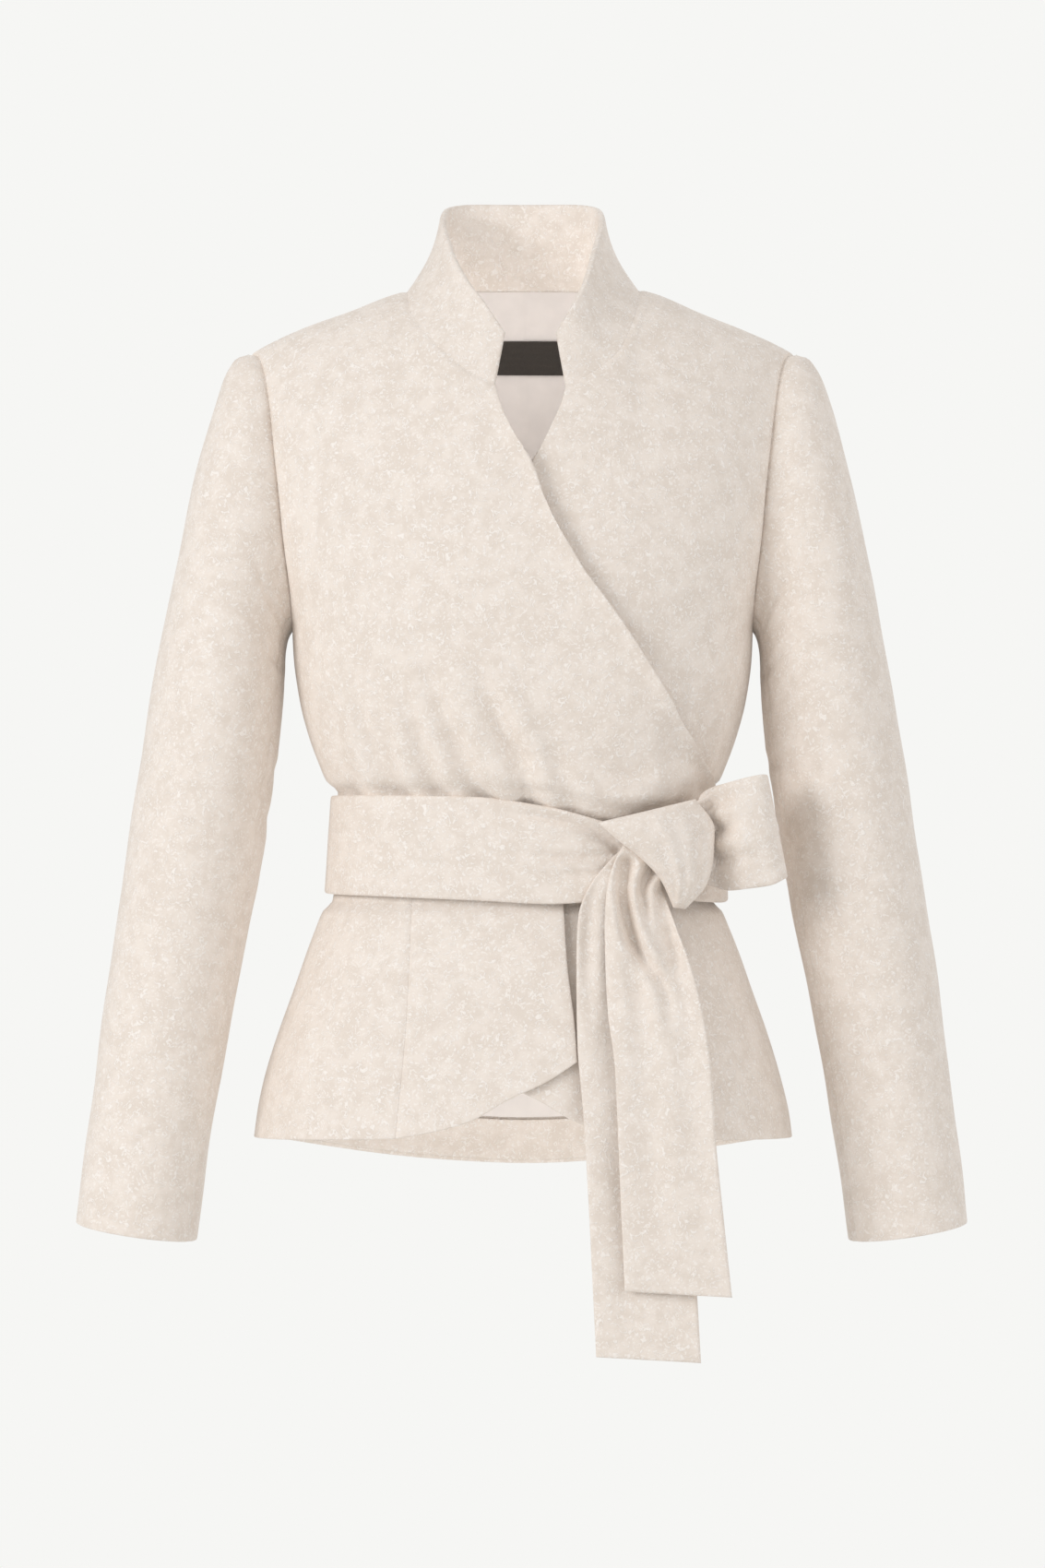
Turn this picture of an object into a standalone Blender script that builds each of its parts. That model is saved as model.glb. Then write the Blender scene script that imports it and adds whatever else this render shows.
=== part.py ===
"""A wrap jacket, worn and hollow: wool bodice, flared peplum, funnel collar, two-piece sleeves, tie belt.

Metres, +Z up, +X to the wearer's left, the front faces -Y. The origin lies between the two points
where the shoulder seams meet the neck.

The body is one smooth form. A place on it is a turn (degrees round the body: 0 front centre, 90 the
wearer's left side, 180 back centre) and a level (1 at the underarm, 2 on the shoulder ridge, less than
1 below the underarm). A piece of cloth is a grid laid on the form between four edges, then thickened.
"""

from collections import namedtuple
import math

import bmesh
import bpy
import numpy as np

# ---------------------------------------------------------------- cloth
CLOTH = 0.0025  # boucle wool
BELT_CLOTH = 0.0042  # the belt is two plies
COLLAR_CLOTH = 0.0045  # collar and its facing
LINING_CLOTH = 0.0010
LABEL_CLOTH = 0.0008
SEAM_GAP = 0.0003
LAYER_GAP = 0.0004  # between a lining, facing or label and what it lies on
WRAP_RISE = 0.0050  # how far the right front stands out over the left one
BELT_SLOPE = 0.0140  # how far the belt's upper edge comes down towards the knot
BELT_SLOPE_RUN = (0.000, 0.070)
BELT_SLOPE_END = (0.085, 0.108)

# ---------------------------------------------------------------- body form
UNDERARM = -0.2345
LEVEL_SPAN = 0.40  # height of one level below the underarm
WAIST = -0.390
HEM_SIDE = -0.5945
HEM_BACK = -0.6265
SQUARENESS = 2.3  # of the rings; 2 would be an ellipse
FRONT_FALL = 1.7  # how full the chest stays below the shoulder
BACK_FALL = 2.6
SHOULDER_HALF = 0.1930
TIP_SHY = 12.0

Ring = namedtuple("Ring", "height half_width front back")
BODY = (
    Ring(-0.640, 0.1965, 0.1385, 0.1560),
    Ring(-0.596, 0.1900, 0.1345, 0.1480),
    Ring(-0.573, 0.1866, 0.1315, 0.1430),
    Ring(-0.521, 0.1720, 0.1230, 0.1300),
    Ring(-0.469, 0.1537, 0.1110, 0.1130),
    Ring(-0.448, 0.1455, 0.1050, 0.1030),
    Ring(-0.435, 0.1400, 0.1012, 0.0965),
    Ring(-0.4285, 0.1338, 0.0970, 0.0897),
    Ring(-0.390, 0.1295, 0.0950, 0.0860),
    Ring(-0.3515, 0.1300, 0.0955, 0.0860),
    Ring(-0.3435, 0.1385, 0.1020, 0.0895),
    Ring(-0.333, 0.1430, 0.1060, 0.0915),
    Ring(-0.313, 0.1500, 0.1120, 0.0950),
    Ring(-0.287, 0.1570, 0.1165, 0.1000),
    Ring(-0.260, 0.1610, 0.1185, 0.1030),
    Ring(UNDERARM, 0.1625, 0.1190, 0.1040),
)

Crest = namedtuple("Crest", "x height")
RIDGE = (
    Crest(0.0000, 0.0530),
    Crest(0.0450, 0.0330),
    Crest(0.0700, 0.0140),
    Crest(0.0825, 0.0025),
    Crest(0.0956, -0.0020),
    Crest(0.1235, -0.0140),
    Crest(0.1580, -0.0270),
    Crest(0.1830, -0.0385),
    Crest(0.2000, -0.0490),
)

PEPLUM_ROWS = 7
PEPLUM_COLUMNS = 12  # of the back
PEPLUM_FRONT_COLUMNS = 7
PEPLUM_SIDE_COLUMNS = 4
BACK_ROWS = 7
BACK_SHOULDER_COLUMNS = 3
LEFT_FRONT_COLUMNS = 10
PLEATED_COLUMNS = np.linspace(0.17, 0.60, 14)  # of the right front, close where its pleats lie
RIGHT_FRONT_COLUMNS = np.concatenate([[0, 0.09], PLEATED_COLUMNS, [0.7, 0.8, 0.9, 1]])

# ---------------------------------------------------------------- edges on the form
ARMHOLE_REACH = {1: 25.5, -1: 24.0}  # degrees forward of the side, and back of it
ARMHOLE_STEPS = 8
CINCH_ROWS = (-0.390, -0.370, -0.3515, -0.3435, -0.333)  # close together where the belt presses
SIDE_ROWS = 10  # rows of a front below its armhole
WRAP_ROWS = 11  # rows of a front below its neck edge
PEPLUM_CINCH = (-0.448, -0.435, -0.4285, -0.390)
LINING_ROWS = (-0.500, -0.448, -0.4285, -0.390, -0.3515, -0.280)
NECK_PULL = 0.0055  # the crossing fronts pull the neck to the wearer's left
PULL_LEVELS = (-0.35, -0.16)

Mark = namedtuple("Mark", "x height")
NECK_FRONT = (  # from the notch to the shoulder
    Mark(0.0245, -0.0725),
    Mark(0.0375, -0.0655),
    Mark(0.0490, -0.0580),
    Mark(0.0625, -0.0450),
    Mark(0.0735, -0.0285),
    Mark(0.0800, -0.0135),
    Mark(0.0825, 0.0025),
)
NECK_BACK = (  # from the shoulder to the back centre
    Mark(0.0825, 0.0025),
    Mark(0.0775, 0.0035),
    Mark(0.0600, 0.0070),
    Mark(0.0350, 0.0100),
    Mark(0.0000, 0.0110),
)
WRAP_EDGE = (  # a front's free edge from the notch to the waist, crossing the centre
    Mark(0.0245, -0.0725),
    Mark(0.0180, -0.0941),
    Mark(0.0075, -0.1142),
    Mark(-0.0015, -0.1290),
    Mark(-0.0132, -0.1643),
    Mark(-0.0237, -0.1799),
    Mark(-0.0353, -0.1996),
    Mark(-0.0494, -0.2182),
    Mark(-0.0644, -0.2379),
    Mark(-0.0950, -0.2839),
    Mark(-0.1170, -0.3246),
    Mark(-0.1265, -0.3432),
    Mark(-0.1275, -0.3900),
)
PEPLUM_EDGE = (  # a front peplum's free edge from the waist to its corner
    Mark(-0.0255, -0.3900),
    Mark(-0.0279, -0.4267),
    Mark(-0.0303, -0.4676),
    Mark(-0.0352, -0.5084),
    Mark(-0.0370, -0.5337),
)
PEPLUM_HEM = (  # from that corner to the side
    Mark(-0.0370, -0.5337),
    Mark(-0.0165, -0.5468),
    Mark(0.0109, -0.5598),
    Mark(0.0364, -0.5741),
    Mark(0.0614, -0.5811),
    Mark(0.0865, -0.5860),
)
PEPLUM_SEAM = (  # between the front and side peplum
    Mark(0.0735, -0.3900),
    Mark(0.0756, -0.4267),
    Mark(0.0789, -0.5015),
    Mark(0.0813, -0.5307),
    Mark(0.0865, -0.5860),
)

# Soft pleats pressed in by the belt: a trough from its foot at the belt to its head.
Pleat = namedtuple("Pleat", "foot_x foot_height head_x head_height depth")
PLEATS = (
    Pleat(-0.0890, -0.3520, -0.1030, -0.3020, 0.0030),
    Pleat(-0.0585, -0.3520, -0.0730, -0.2600, 0.0022),
    Pleat(-0.0270, -0.3540, -0.0700, -0.2480, 0.0028),
    Pleat(0.0020, -0.3560, -0.0350, -0.2560, 0.0034),
)
PLEAT_HALF = 0.011
RIDGE_ASIDE = 1.2  # the fold beside a trough, in halves of its width
TROUGH_SHARE = 0.35

# ---------------------------------------------------------------- collar
CollarTop = namedtuple("CollarTop", "share x y height")
COLLAR_TOP = (  # share of the way along the neck seam, from the notch to the back centre
    CollarTop(0.00, 0.0174, -0.0800, -0.0355),
    CollarTop(0.09, 0.0305, -0.0740, -0.0150),
    CollarTop(0.20, 0.0415, -0.0620, 0.0020),
    CollarTop(0.32, 0.0490, -0.0450, 0.0200),
    CollarTop(0.43, 0.0540, -0.0250, 0.0370),
    CollarTop(0.55, 0.0580, -0.0020, 0.0530),
    CollarTop(0.68, 0.0560, 0.0250, 0.0630),
    CollarTop(0.82, 0.0380, 0.0450, 0.0680),
    CollarTop(1.00, 0.0000, 0.0530, 0.0690),
)
COLLAR_HOLLOW = 0.0045  # how far the band curves in between seam and top
COLLAR_ROWS = 4
COLLAR_CLEAR = 0.0004  # its lower edge over the neck seam
NECK_FRONT_STEPS = SIDE_ROWS + ARMHOLE_STEPS - WRAP_ROWS
NECK_BACK_STEPS = 4

# ---------------------------------------------------------------- sleeves
SleeveRow = namedtuple("SleeveRow", "outer_x outer_z inner_x inner_z middle_y half_depth")
SLEEVE = (
    SleeveRow(0.1930, -0.0440, 0.1625, -0.2345, 0.0010, 0.0410),
    SleeveRow(0.2000, -0.0455, 0.1665, -0.2400, 0.0010, 0.0450),
    SleeveRow(0.2075, -0.0560, 0.1682, -0.2460, 0.0000, 0.0490),
    SleeveRow(0.2160, -0.0800, 0.1690, -0.2540, -0.0010, 0.0530),
    SleeveRow(0.2275, -0.1180, 0.1692, -0.2660, -0.0020, 0.0570),
    SleeveRow(0.2378, -0.1620, 0.1695, -0.2820, -0.0040, 0.0595),
    SleeveRow(0.2475, -0.2110, 0.1708, -0.3020, -0.0060, 0.0600),
    SleeveRow(0.2570, -0.2600, 0.1730, -0.3300, -0.0090, 0.0595),
    SleeveRow(0.2660, -0.3150, 0.1775, -0.3640, -0.0120, 0.0580),
    SleeveRow(0.2735, -0.3680, 0.1840, -0.4060, -0.0160, 0.0560),
    SleeveRow(0.2815, -0.4230, 0.1928, -0.4550, -0.0205, 0.0531),
    SleeveRow(0.2900, -0.4850, 0.2026, -0.5090, -0.0268, 0.0500),
    SleeveRow(0.2978, -0.5480, 0.2126, -0.5640, -0.0330, 0.0465),
    SleeveRow(0.3050, -0.6080, 0.2205, -0.6175, -0.0395, 0.0432),
    SleeveRow(0.3095, -0.6500, 0.2262, -0.6625, -0.0450, 0.0410),
)
SLEEVE_ROUNDING = 5  # rows over which the armhole's own shape fades into an ellipse
FRONT_SEAM_STEP = 7  # ring points from the shoulder to the forearm seam
BACK_SEAM_STEP = 12  # and on to the seam down the back of the arm
RING_STEPS = 2 * ARMHOLE_STEPS
SLEEVE_TRIM = 0.0010  # at the armhole, where coarse facets lean
SLEEVE_SIDE_TRIM = 0.0003

# ---------------------------------------------------------------- lining, facing, label
FACING_CLOTH = 0.0020
FACING_HEIGHT = 0.034
FACING_EDGE = 0.002  # the hem's own edge shows below the facing
FACING_TRIM = 0.0010
LINING_STAND = 0.0023  # the lining hangs this far inside the back
LINING_TRIM = 0.0020  # and this far short of the seams round it
LINING_ARM_ROWS = 5
LINING_SHOULDER_COLUMNS = 2
LINING_NECK_COLUMNS = 3
LABEL_STAND = 0.0032
LABEL_WIDTH = 0.062
LABEL_TOP = -0.0235
LABEL_BOTTOM = -0.0480
LABEL_X = 0.0030
LABEL_POINTS = (7, 3)  # across and up

# ---------------------------------------------------------------- belt
BeltRow = namedtuple("BeltRow", "turn top bottom rise")
BELT = (  # from the knot round the wearer's left side and back to the knot again
    BeltRow(46.0, -0.3680, -0.4230, 0.0030),
    BeltRow(56.0, -0.3620, -0.4270, 0.0005),
    BeltRow(75.0, -0.3570, -0.4285, 0.0000),
    BeltRow(110.0, -0.3540, -0.4250, 0.0000),
    BeltRow(180.0, -0.3525, -0.4235, 0.0000),
    BeltRow(270.0, -0.3540, -0.4225, 0.0000),
    BeltRow(310.0, -0.3535, -0.4228, 0.0000),
    BeltRow(345.0, -0.3545, -0.4250, 0.0000),
    BeltRow(368.0, -0.3615, -0.4275, 0.0006),
    BeltRow(380.0, -0.3690, -0.4260, 0.0030),
    BeltRow(390.0, -0.3760, -0.4180, 0.0050),
    BeltRow(400.0, -0.3800, -0.4120, 0.0050),
)
BELT_STAND = 0.0060  # the belt's outer face over the form at the waist
BELT_FLARE = 0.0040  # how much further its lower edge stands out
BELT_COLUMNS = 38
BELT_STEPS = 2

KNOT_LEFT = (  # the wrap's slanting left edge, bottom to top
    Mark(0.1026, -0.4300),
    Mark(0.0939, -0.4113),
    Mark(0.0808, -0.3968),
    Mark(0.0646, -0.3838),
    Mark(0.0509, -0.3719),
)
KNOT_RIGHT = (
    Mark(0.1110, -0.4310),
    Mark(0.1263, -0.4130),
    Mark(0.1306, -0.3950),
    Mark(0.1313, -0.3767),
    Mark(0.1180, -0.3560),
)
KNOT_BACK = -0.1185  # depth of the knot's back at its left end
KNOT_TURN = 0.12  # how the knot, the loop and the tails' tops follow the body round
KNOT_CURL = 3.0
KNOT_EDGE = 0.0045
KNOT_DOME = 0.0190
KNOT_FULLNESS = 0.45  # how square the dome is; less is squarer
KNOT_STEPS = 8

LoopRow = namedtuple("LoopRow", "x y top bottom bulge lean")
LOOP = (  # out from behind the knot, round the fold and back again
    LoopRow(0.1150, -0.0976, -0.3610, -0.4050, 0.0000, 0.0000),
    LoopRow(0.1300, -0.0866, -0.3520, -0.4160, 0.0000, -0.0030),
    LoopRow(0.1400, -0.0920, -0.3470, -0.4190, 0.0030, -0.0070),
    LoopRow(0.1530, -0.1010, -0.3430, -0.4175, 0.0055, -0.0100),
    LoopRow(0.1670, -0.1020, -0.3400, -0.4150, 0.0035, -0.0125),
    LoopRow(0.1760, -0.0985, -0.3389, -0.4110, 0.0010, -0.0140),
    LoopRow(0.1785, -0.0920, -0.3389, -0.4100, 0.0000, -0.0140),
    LoopRow(0.1760, -0.0855, -0.3392, -0.4105, -0.0010, -0.0140),
    LoopRow(0.1670, -0.0800, -0.3405, -0.4140, -0.0025, -0.0125),
    LoopRow(0.1530, -0.0775, -0.3440, -0.4165, -0.0030, -0.0100),
    LoopRow(0.1380, -0.0780, -0.3490, -0.4165, -0.0020, -0.0070),
    LoopRow(0.1270, -0.0810, -0.3535, -0.4145, 0.0000, -0.0030),
    LoopRow(0.1160, -0.0870, -0.3620, -0.4040, 0.0000, 0.0000),
)
LOOP_STEPS = 6

TailRow = namedtuple("TailRow", "height left right y fold")
TAIL_FRONT = (
    TailRow(-0.3860, 0.0690, 0.0880, -0.1180, 0.0000),
    TailRow(-0.3980, 0.0625, 0.0920, -0.1180, 0.0000),
    TailRow(-0.4120, 0.0580, 0.0940, -0.1174, 0.0000),
    TailRow(-0.4260, 0.0562, 0.0985, -0.1205, 0.0060),
    TailRow(-0.4450, 0.0555, 0.1050, -0.1260, 0.0085),
    TailRow(-0.4700, 0.0560, 0.1140, -0.1310, 0.0070),
    TailRow(-0.5000, 0.0575, 0.1215, -0.1350, 0.0050),
    TailRow(-0.5350, 0.0620, 0.1265, -0.1410, 0.0030),
    TailRow(-0.5800, 0.0640, 0.1295, -0.1465, 0.0018),
    TailRow(-0.6300, 0.0660, 0.1345, -0.1490, 0.0010),
    TailRow(-0.6860, 0.0685, 0.1405, -0.1500, 0.0005),
)
TAIL_BACK = (
    TailRow(-0.3900, 0.0670, 0.0850, -0.1130, 0.0000),
    TailRow(-0.3990, 0.0580, 0.0870, -0.1130, 0.0000),
    TailRow(-0.4100, 0.0490, 0.0885, -0.1130, 0.0000),
    TailRow(-0.4220, 0.0420, 0.0900, -0.1130, 0.0008),
    TailRow(-0.4350, 0.0380, 0.0920, -0.1145, 0.0015),
    TailRow(-0.4550, 0.0367, 0.0960, -0.1175, 0.0022),
    TailRow(-0.4850, 0.0365, 0.1010, -0.1225, 0.0022),
    TailRow(-0.5200, 0.0370, 0.1050, -0.1285, 0.0020),
    TailRow(-0.5700, 0.0410, 0.1090, -0.1385, 0.0015),
    TailRow(-0.6200, 0.0440, 0.1130, -0.1415, 0.0010),
    TailRow(-0.6800, 0.0470, 0.1170, -0.1425, 0.0008),
    TailRow(-0.7310, 0.0495, 0.1200, -0.1425, 0.0005),
)
TAIL_SLANT = 0.0040  # the right corner of a tail hangs this much lower
TAIL_ROWS = 12
TAIL_STEPS = 7
FOLD_WAVES = 2.2

CREAM = (0.80, 0.74, 0.66, 1.0)
PALE = (0.84, 0.80, 0.76, 1.0)
DARK = (0.035, 0.030, 0.027, 1.0)
Finish = namedtuple("Finish", "colour roughness")
WOOL = Finish(CREAM, 0.95)
SATIN = Finish(PALE, 0.45)
WOVEN = Finish(DARK, 0.60)


# ---------------------------------------------------------------- smooth curves through tables
def column(rows, name):
    return np.array([getattr(row, name) for row in rows], float)


def smooth(keys, values, at):
    """A curve through the values that never overshoots them."""
    keys, values = np.asarray(keys, float), np.asarray(values, float)
    if keys[0] > keys[-1]:
        keys, values = keys[::-1], values[::-1]
    gaps = np.diff(keys)
    rises = np.diff(values) / gaps
    same_way = rises[1:] * rises[:-1] > 0
    safe = np.where(same_way, rises[1:] + rises[:-1], 1.0)
    inner = np.where(same_way, 2 * rises[1:] * rises[:-1] / safe, 0.0)
    slopes = np.concatenate([rises[:1], inner, rises[-1:]])
    at = np.clip(np.asarray(at, float), keys[0], keys[-1])
    k = np.clip(np.searchsorted(keys, at) - 1, 0, len(gaps) - 1)
    s = (at - keys[k]) / gaps[k]
    start = (1 + 2 * s) * (1 - s) ** 2 * values[k] + s * (1 - s) ** 2 * gaps[k] * slopes[k]
    end = s * s * (3 - 2 * s) * values[k + 1] - s * s * (1 - s) * gaps[k] * slopes[k + 1]
    return start + end


def ease(low, high, at):
    s = np.clip((np.asarray(at, float) - low) / (high - low), 0, 1)
    return s * s * (3 - 2 * s)


def shares(count):
    return np.linspace(0, 1, count + 1)


def along(points, at):
    """Points at these shares of the length of a line of points."""
    points = np.asarray(points, float)
    run = np.concatenate([[0], np.cumsum(np.linalg.norm(np.diff(points, axis=0), axis=1))])
    return np.stack([smooth(run / run[-1], points[:, k], at) for k in range(points.shape[1])], -1)


# ---------------------------------------------------------------- the body form
def ring_share(turn):
    """Sideways and forward share of a ring's half-width and depth."""
    side, ahead = np.sin(np.radians(turn)), np.cos(np.radians(turn))
    reach = (np.abs(side) ** SQUARENESS + np.abs(ahead) ** SQUARENESS) ** (1 / SQUARENESS)
    return side / reach, ahead / reach


def body_half(height):
    return smooth(column(BODY, "height"), column(BODY, "half_width"), height)


def shoulder_half(rise):
    """Half-width at this share of the way from the underarm up to the shoulder ridge."""
    low = BODY[-1].half_width
    return low + (SHOULDER_HALF - low) * np.sin(np.clip(rise, 0, 1) * math.pi / 2)


def ridge(x):
    return smooth(column(RIDGE, "x"), column(RIDGE, "height"), np.abs(x))


def form(turn, level):
    """The point of the body form at a turn and a level."""
    turn, level = np.broadcast_arrays(np.asarray(turn, float), np.asarray(level, float))
    side, ahead = ring_share(turn)
    front = ahead >= 0
    low_z = UNDERARM + (np.minimum(level, 1) - 1) * LEVEL_SPAN
    heights = column(BODY, "height")
    depth_front = smooth(heights, column(BODY, "front"), low_z)
    depth_back = smooth(heights, column(BODY, "back"), low_z)
    depth = np.where(front, depth_front, depth_back)
    over = (np.maximum(level, 1) - 1) * math.pi / 2
    fall = np.where(front, FRONT_FALL, BACK_FALL)
    rise = np.abs(np.sin(over)) ** (2 / fall)
    half = np.where(level > 1, shoulder_half(rise), body_half(low_z))
    x = half * side
    z = np.where(level > 1, UNDERARM + (ridge(x) - UNDERARM) * rise, low_z)
    y = -depth * ahead * np.where(level > 1, np.cos(over), 1.0)
    return np.stack([x, y, z], -1)


def outward(turn, level):
    """The outward normal, level below the underarm so that cloth there is thickened sideways.

    It is read just inside the shoulder tip, where the form comes to a point.
    """
    step_turn, step_level = 0.05, 0.0005
    turn = (turn + 90) % 360 - 90
    shy = TIP_SHY * ease(1.8, 2.0, level)
    turn = np.where(turn <= 90, np.clip(turn, shy - 90, 90 - shy), np.clip(turn, 90 + shy, 270 - shy))
    level = np.minimum(level, 1.995)
    across = form(turn + step_turn, level) - form(turn - step_turn, level)
    up = form(turn, level + step_level) - form(turn, level - step_level)
    normal = unit(np.cross(across, up) * 1e6)
    return unit(normal * np.stack([np.ones_like(level), np.ones_like(level), level > 1], -1))


def on_form(turn, level, lift=0.0):
    turn, level = np.broadcast_arrays(np.asarray(turn, float), np.asarray(level, float))
    return form(turn, level) + outward(turn, level) * np.asarray(lift, float)[..., None]


def place(x, height, back=False):
    """The turn and level of a point given by its x and height, on the front or the back."""
    x, height = np.broadcast_arrays(np.asarray(x, float), np.asarray(height, float))
    rise = np.clip((height - UNDERARM) / (ridge(x) - UNDERARM), 0, 1)
    fall = BACK_FALL if back else FRONT_FALL
    high_level = 1 + np.arcsin(rise ** (fall / 2)) / (math.pi / 2)
    level = np.where(height > UNDERARM, high_level, 1 + (height - UNDERARM) / LEVEL_SPAN)
    half = np.where(height > UNDERARM, shoulder_half(rise), body_half(height))
    side = np.clip(np.abs(x) / half, 0, 1)
    ahead = (1 - side**SQUARENESS) ** (1 / SQUARENESS)
    turn = np.sign(x) * np.degrees(np.arctan2(side, ahead))
    return np.stack([180 - turn if back else turn, level], -1)


def level_at(height):
    return 1 + (height - UNDERARM) / LEVEL_SPAN


# ---------------------------------------------------------------- edges, as turns and levels
def neck_pull(height):
    return NECK_PULL * ease(*PULL_LEVELS, height)


def marks(rows, side, pulled=True):
    """A table of marks on one side (1 the wearer's left) as points of x and height."""
    x, height = column(rows, "x") * side, column(rows, "height")
    if pulled:
        x = x + neck_pull(height) * (1 - ease(0.06, 0.0825, np.abs(x)))
    return np.stack([x, height], -1)


def edge(rows, side, at, back=False, pulled=True):
    points = along(marks(rows, side, pulled), at)
    return place(points[:, 0], points[:, 1], back)


def armhole(side, face, at):
    """Shares 0 at the underarm to 1 at the shoulder tip; face 1 is the front, -1 the back."""
    at = np.asarray(at, float)
    swing = np.sin(math.pi * at).clip(0) ** 0.8 * ARMHOLE_REACH[face]
    turn = 90 - swing if face > 0 else 90 + swing
    level = 1.5 - 0.5 * np.cos(math.pi * at)
    return np.stack([turn * side, level], -1)


def side_edge(side, face, heights, arm_rows=ARMHOLE_STEPS):
    """Side seam through these heights, then the armhole from the underarm to the shoulder tip."""
    levels = level_at(np.asarray(heights))
    seam = np.stack([np.full(len(levels), 90.0 * side), levels], -1)
    return np.concatenate([seam, armhole(side, face, shares(arm_rows))])


def rows_above(cinch, top, count):
    """The cinch's heights, then even ones up to but not including the top; count in all."""
    rest = np.linspace(cinch[-1], top, count - len(cinch) + 2)[1:-1]
    return np.concatenate([cinch, rest])


def edge_at(rows, side, heights, pulled=True):
    """An edge read at given heights."""
    points = marks(rows, side, pulled)
    x = smooth(points[:, 1], points[:, 0], heights)
    return place(x, heights)


def shoulder(side, at, face=1):
    """Along the shoulder ridge, from the neck to the tip."""
    neck_side = NECK_FRONT[-1].x / SHOULDER_HALF
    neck_turn = math.degrees(math.atan2(neck_side, (1 - neck_side**SQUARENESS) ** (1 / SQUARENESS)))
    turns = neck_turn + (90 - neck_turn) * np.asarray(at, float)
    if face < 0:
        turns = 180 - turns
    return np.stack([turns * side, np.full(len(turns), 2.0)], -1)


def straight(start, end, count):
    return start + (end - start) * shares(count)[:, None]


def share_of(values):
    return (values - values[0]) / (values[-1] - values[0])


def patch(bottom, top, left, right):
    """A grid of turns and levels between four edges, rows from bottom to top.

    Each row keeps to its own two ends. Above the underarm the levels are scaled to end on the top
    edge; what the bottom edge adds to them fades fast.
    """
    up = shares(len(left) - 1)[:, None]
    spread = (1 - up) * share_of(bottom[:, 0]) + up * share_of(top[:, 0])
    ends = left[:, None] * (1 - spread[..., None]) + right[:, None] * spread[..., None]
    level = ends[..., 1]
    above = np.maximum(level, 1) - 1
    reach = (top[:, 1] - 1) / np.maximum(level[-1] - 1, 1e-9)
    drop = (1 - share_of(left[:, 1])[:, None]) ** 2 * (bottom[:, 1] - level[0])
    return np.stack([ends[..., 0], np.minimum(level, 1) + above * reach + drop], -1)


# ---------------------------------------------------------------- how far cloth stands off the form
def wrap_lift(points, side):
    """The two fronts lie one over the other; side -1 is the right front, on top."""
    spread = WRAP_EDGE[-1].x
    share = np.clip(0.5 - 0.5 * points[..., 0] / spread, 0, 1)
    fade = 1 - ease(-0.115, -0.075, points[..., 2])
    lift = share if side < 0 else share - 1
    return WRAP_RISE * lift * fade


def blouse_lift(points):
    """Where the belt slopes down to the knot, the front stays full as far down as its upper edge."""
    x, height = points[..., 0], points[..., 2]
    along = ease(*BELT_SLOPE_RUN, x) * (1 - ease(*BELT_SLOPE_END, x))
    drop = BELT_SLOPE * along * ease(WAIST, WAIST + BELT_SLOPE, height)
    heights, depths = column(BODY, "height"), column(BODY, "front")
    fuller = smooth(heights, depths, height + drop) - smooth(heights, depths, height)
    return fuller * (points[..., 1] < 0)


def pleat_lift(points):
    total = np.zeros(points.shape[:-1])
    for pleat in PLEATS:
        rise = pleat.head_height - pleat.foot_height
        s = (points[..., 2] - pleat.foot_height) / rise
        line = pleat.foot_x + (pleat.head_x - pleat.foot_x) * s
        off = (points[..., 0] - line) / PLEAT_HALF
        fade = ease(-0.04, 0.2, s) * (1 - ease(0.25, 1.0, s))
        ridge_beside = np.exp(-((off - RIDGE_ASIDE) ** 2))
        total = total + pleat.depth * fade * (ridge_beside - TROUGH_SHARE * np.exp(-(off**2)))
    return total


# ---------------------------------------------------------------- making pieces
def unit(vectors):
    return vectors / np.maximum(np.linalg.norm(vectors, axis=-1, keepdims=True), 1e-9)


def trimmed(points, ends=SEAM_GAP / 2, sides=SEAM_GAP / 2):
    """A grid cut back by these amounts at its first and last row, and at its first and last column."""
    points = points.copy()
    first, last = unit(points[1] - points[0]), unit(points[-2] - points[-1])
    points[0], points[-1] = points[0] + first * ends, points[-1] + last * ends
    left = unit(points[:, 1] - points[:, 0])
    right = unit(points[:, -2] - points[:, -1])
    points[:, 0], points[:, -1] = points[:, 0] + left * sides, points[:, -1] + right * sides
    return points


def material(name, finish):
    made = bpy.data.materials.new(name)
    made.use_nodes = True
    shader = made.node_tree.nodes["Principled BSDF"]
    shader.inputs["Base Color"].default_value = finish.colour
    shader.inputs["Roughness"].default_value = finish.roughness
    shader.inputs["Metallic"].default_value = 0.0
    return made


def keep(mesh, name, finish):
    for face in mesh.polygons:
        face.use_smooth = True
    made = bpy.data.objects.new(name, mesh)
    made.data.materials.append(material(name, finish))
    bpy.data.collections["wrap_jacket"].objects.link(made)
    return made


def normals(points, closed=False):
    """Outward normals of a grid; a closed grid's columns run round to the first again."""
    if closed:
        wide = np.concatenate([points[:, -1:], points, points[:, :1]], axis=1)
        across = np.gradient(wide, axis=1)[:, 1:-1]
    else:
        across = np.gradient(points, axis=1)
    return unit(np.cross(across, np.gradient(points, axis=0)))


def inside(points, thickness, closed=False):
    return points - normals(points, closed) * thickness


def lay_grid(bm, points):
    """A grid primitive whose points take these places; returns its vertices in rows and columns."""
    rows, columns = points.shape[:2]
    made = bmesh.ops.create_grid(bm, x_segments=columns - 1, y_segments=rows - 1, size=1.0)
    spots = {}
    for vert in made["verts"]:
        col = round((vert.co.x + 1) / 2 * (columns - 1))
        row = round((vert.co.y + 1) / 2 * (rows - 1))
        spots[row, col] = vert
        vert.co = points[row, col]
    return spots


def border(rows, columns):
    """Places of the grid's outline, once round."""
    low = [(0, col) for col in range(columns - 1)]
    right = [(row, columns - 1) for row in range(rows - 1)]
    high = [(rows - 1, col) for col in range(columns - 1, 0, -1)]
    left = [(row, 0) for row in range(rows - 1, 0, -1)]
    return low + right + high + left


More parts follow.
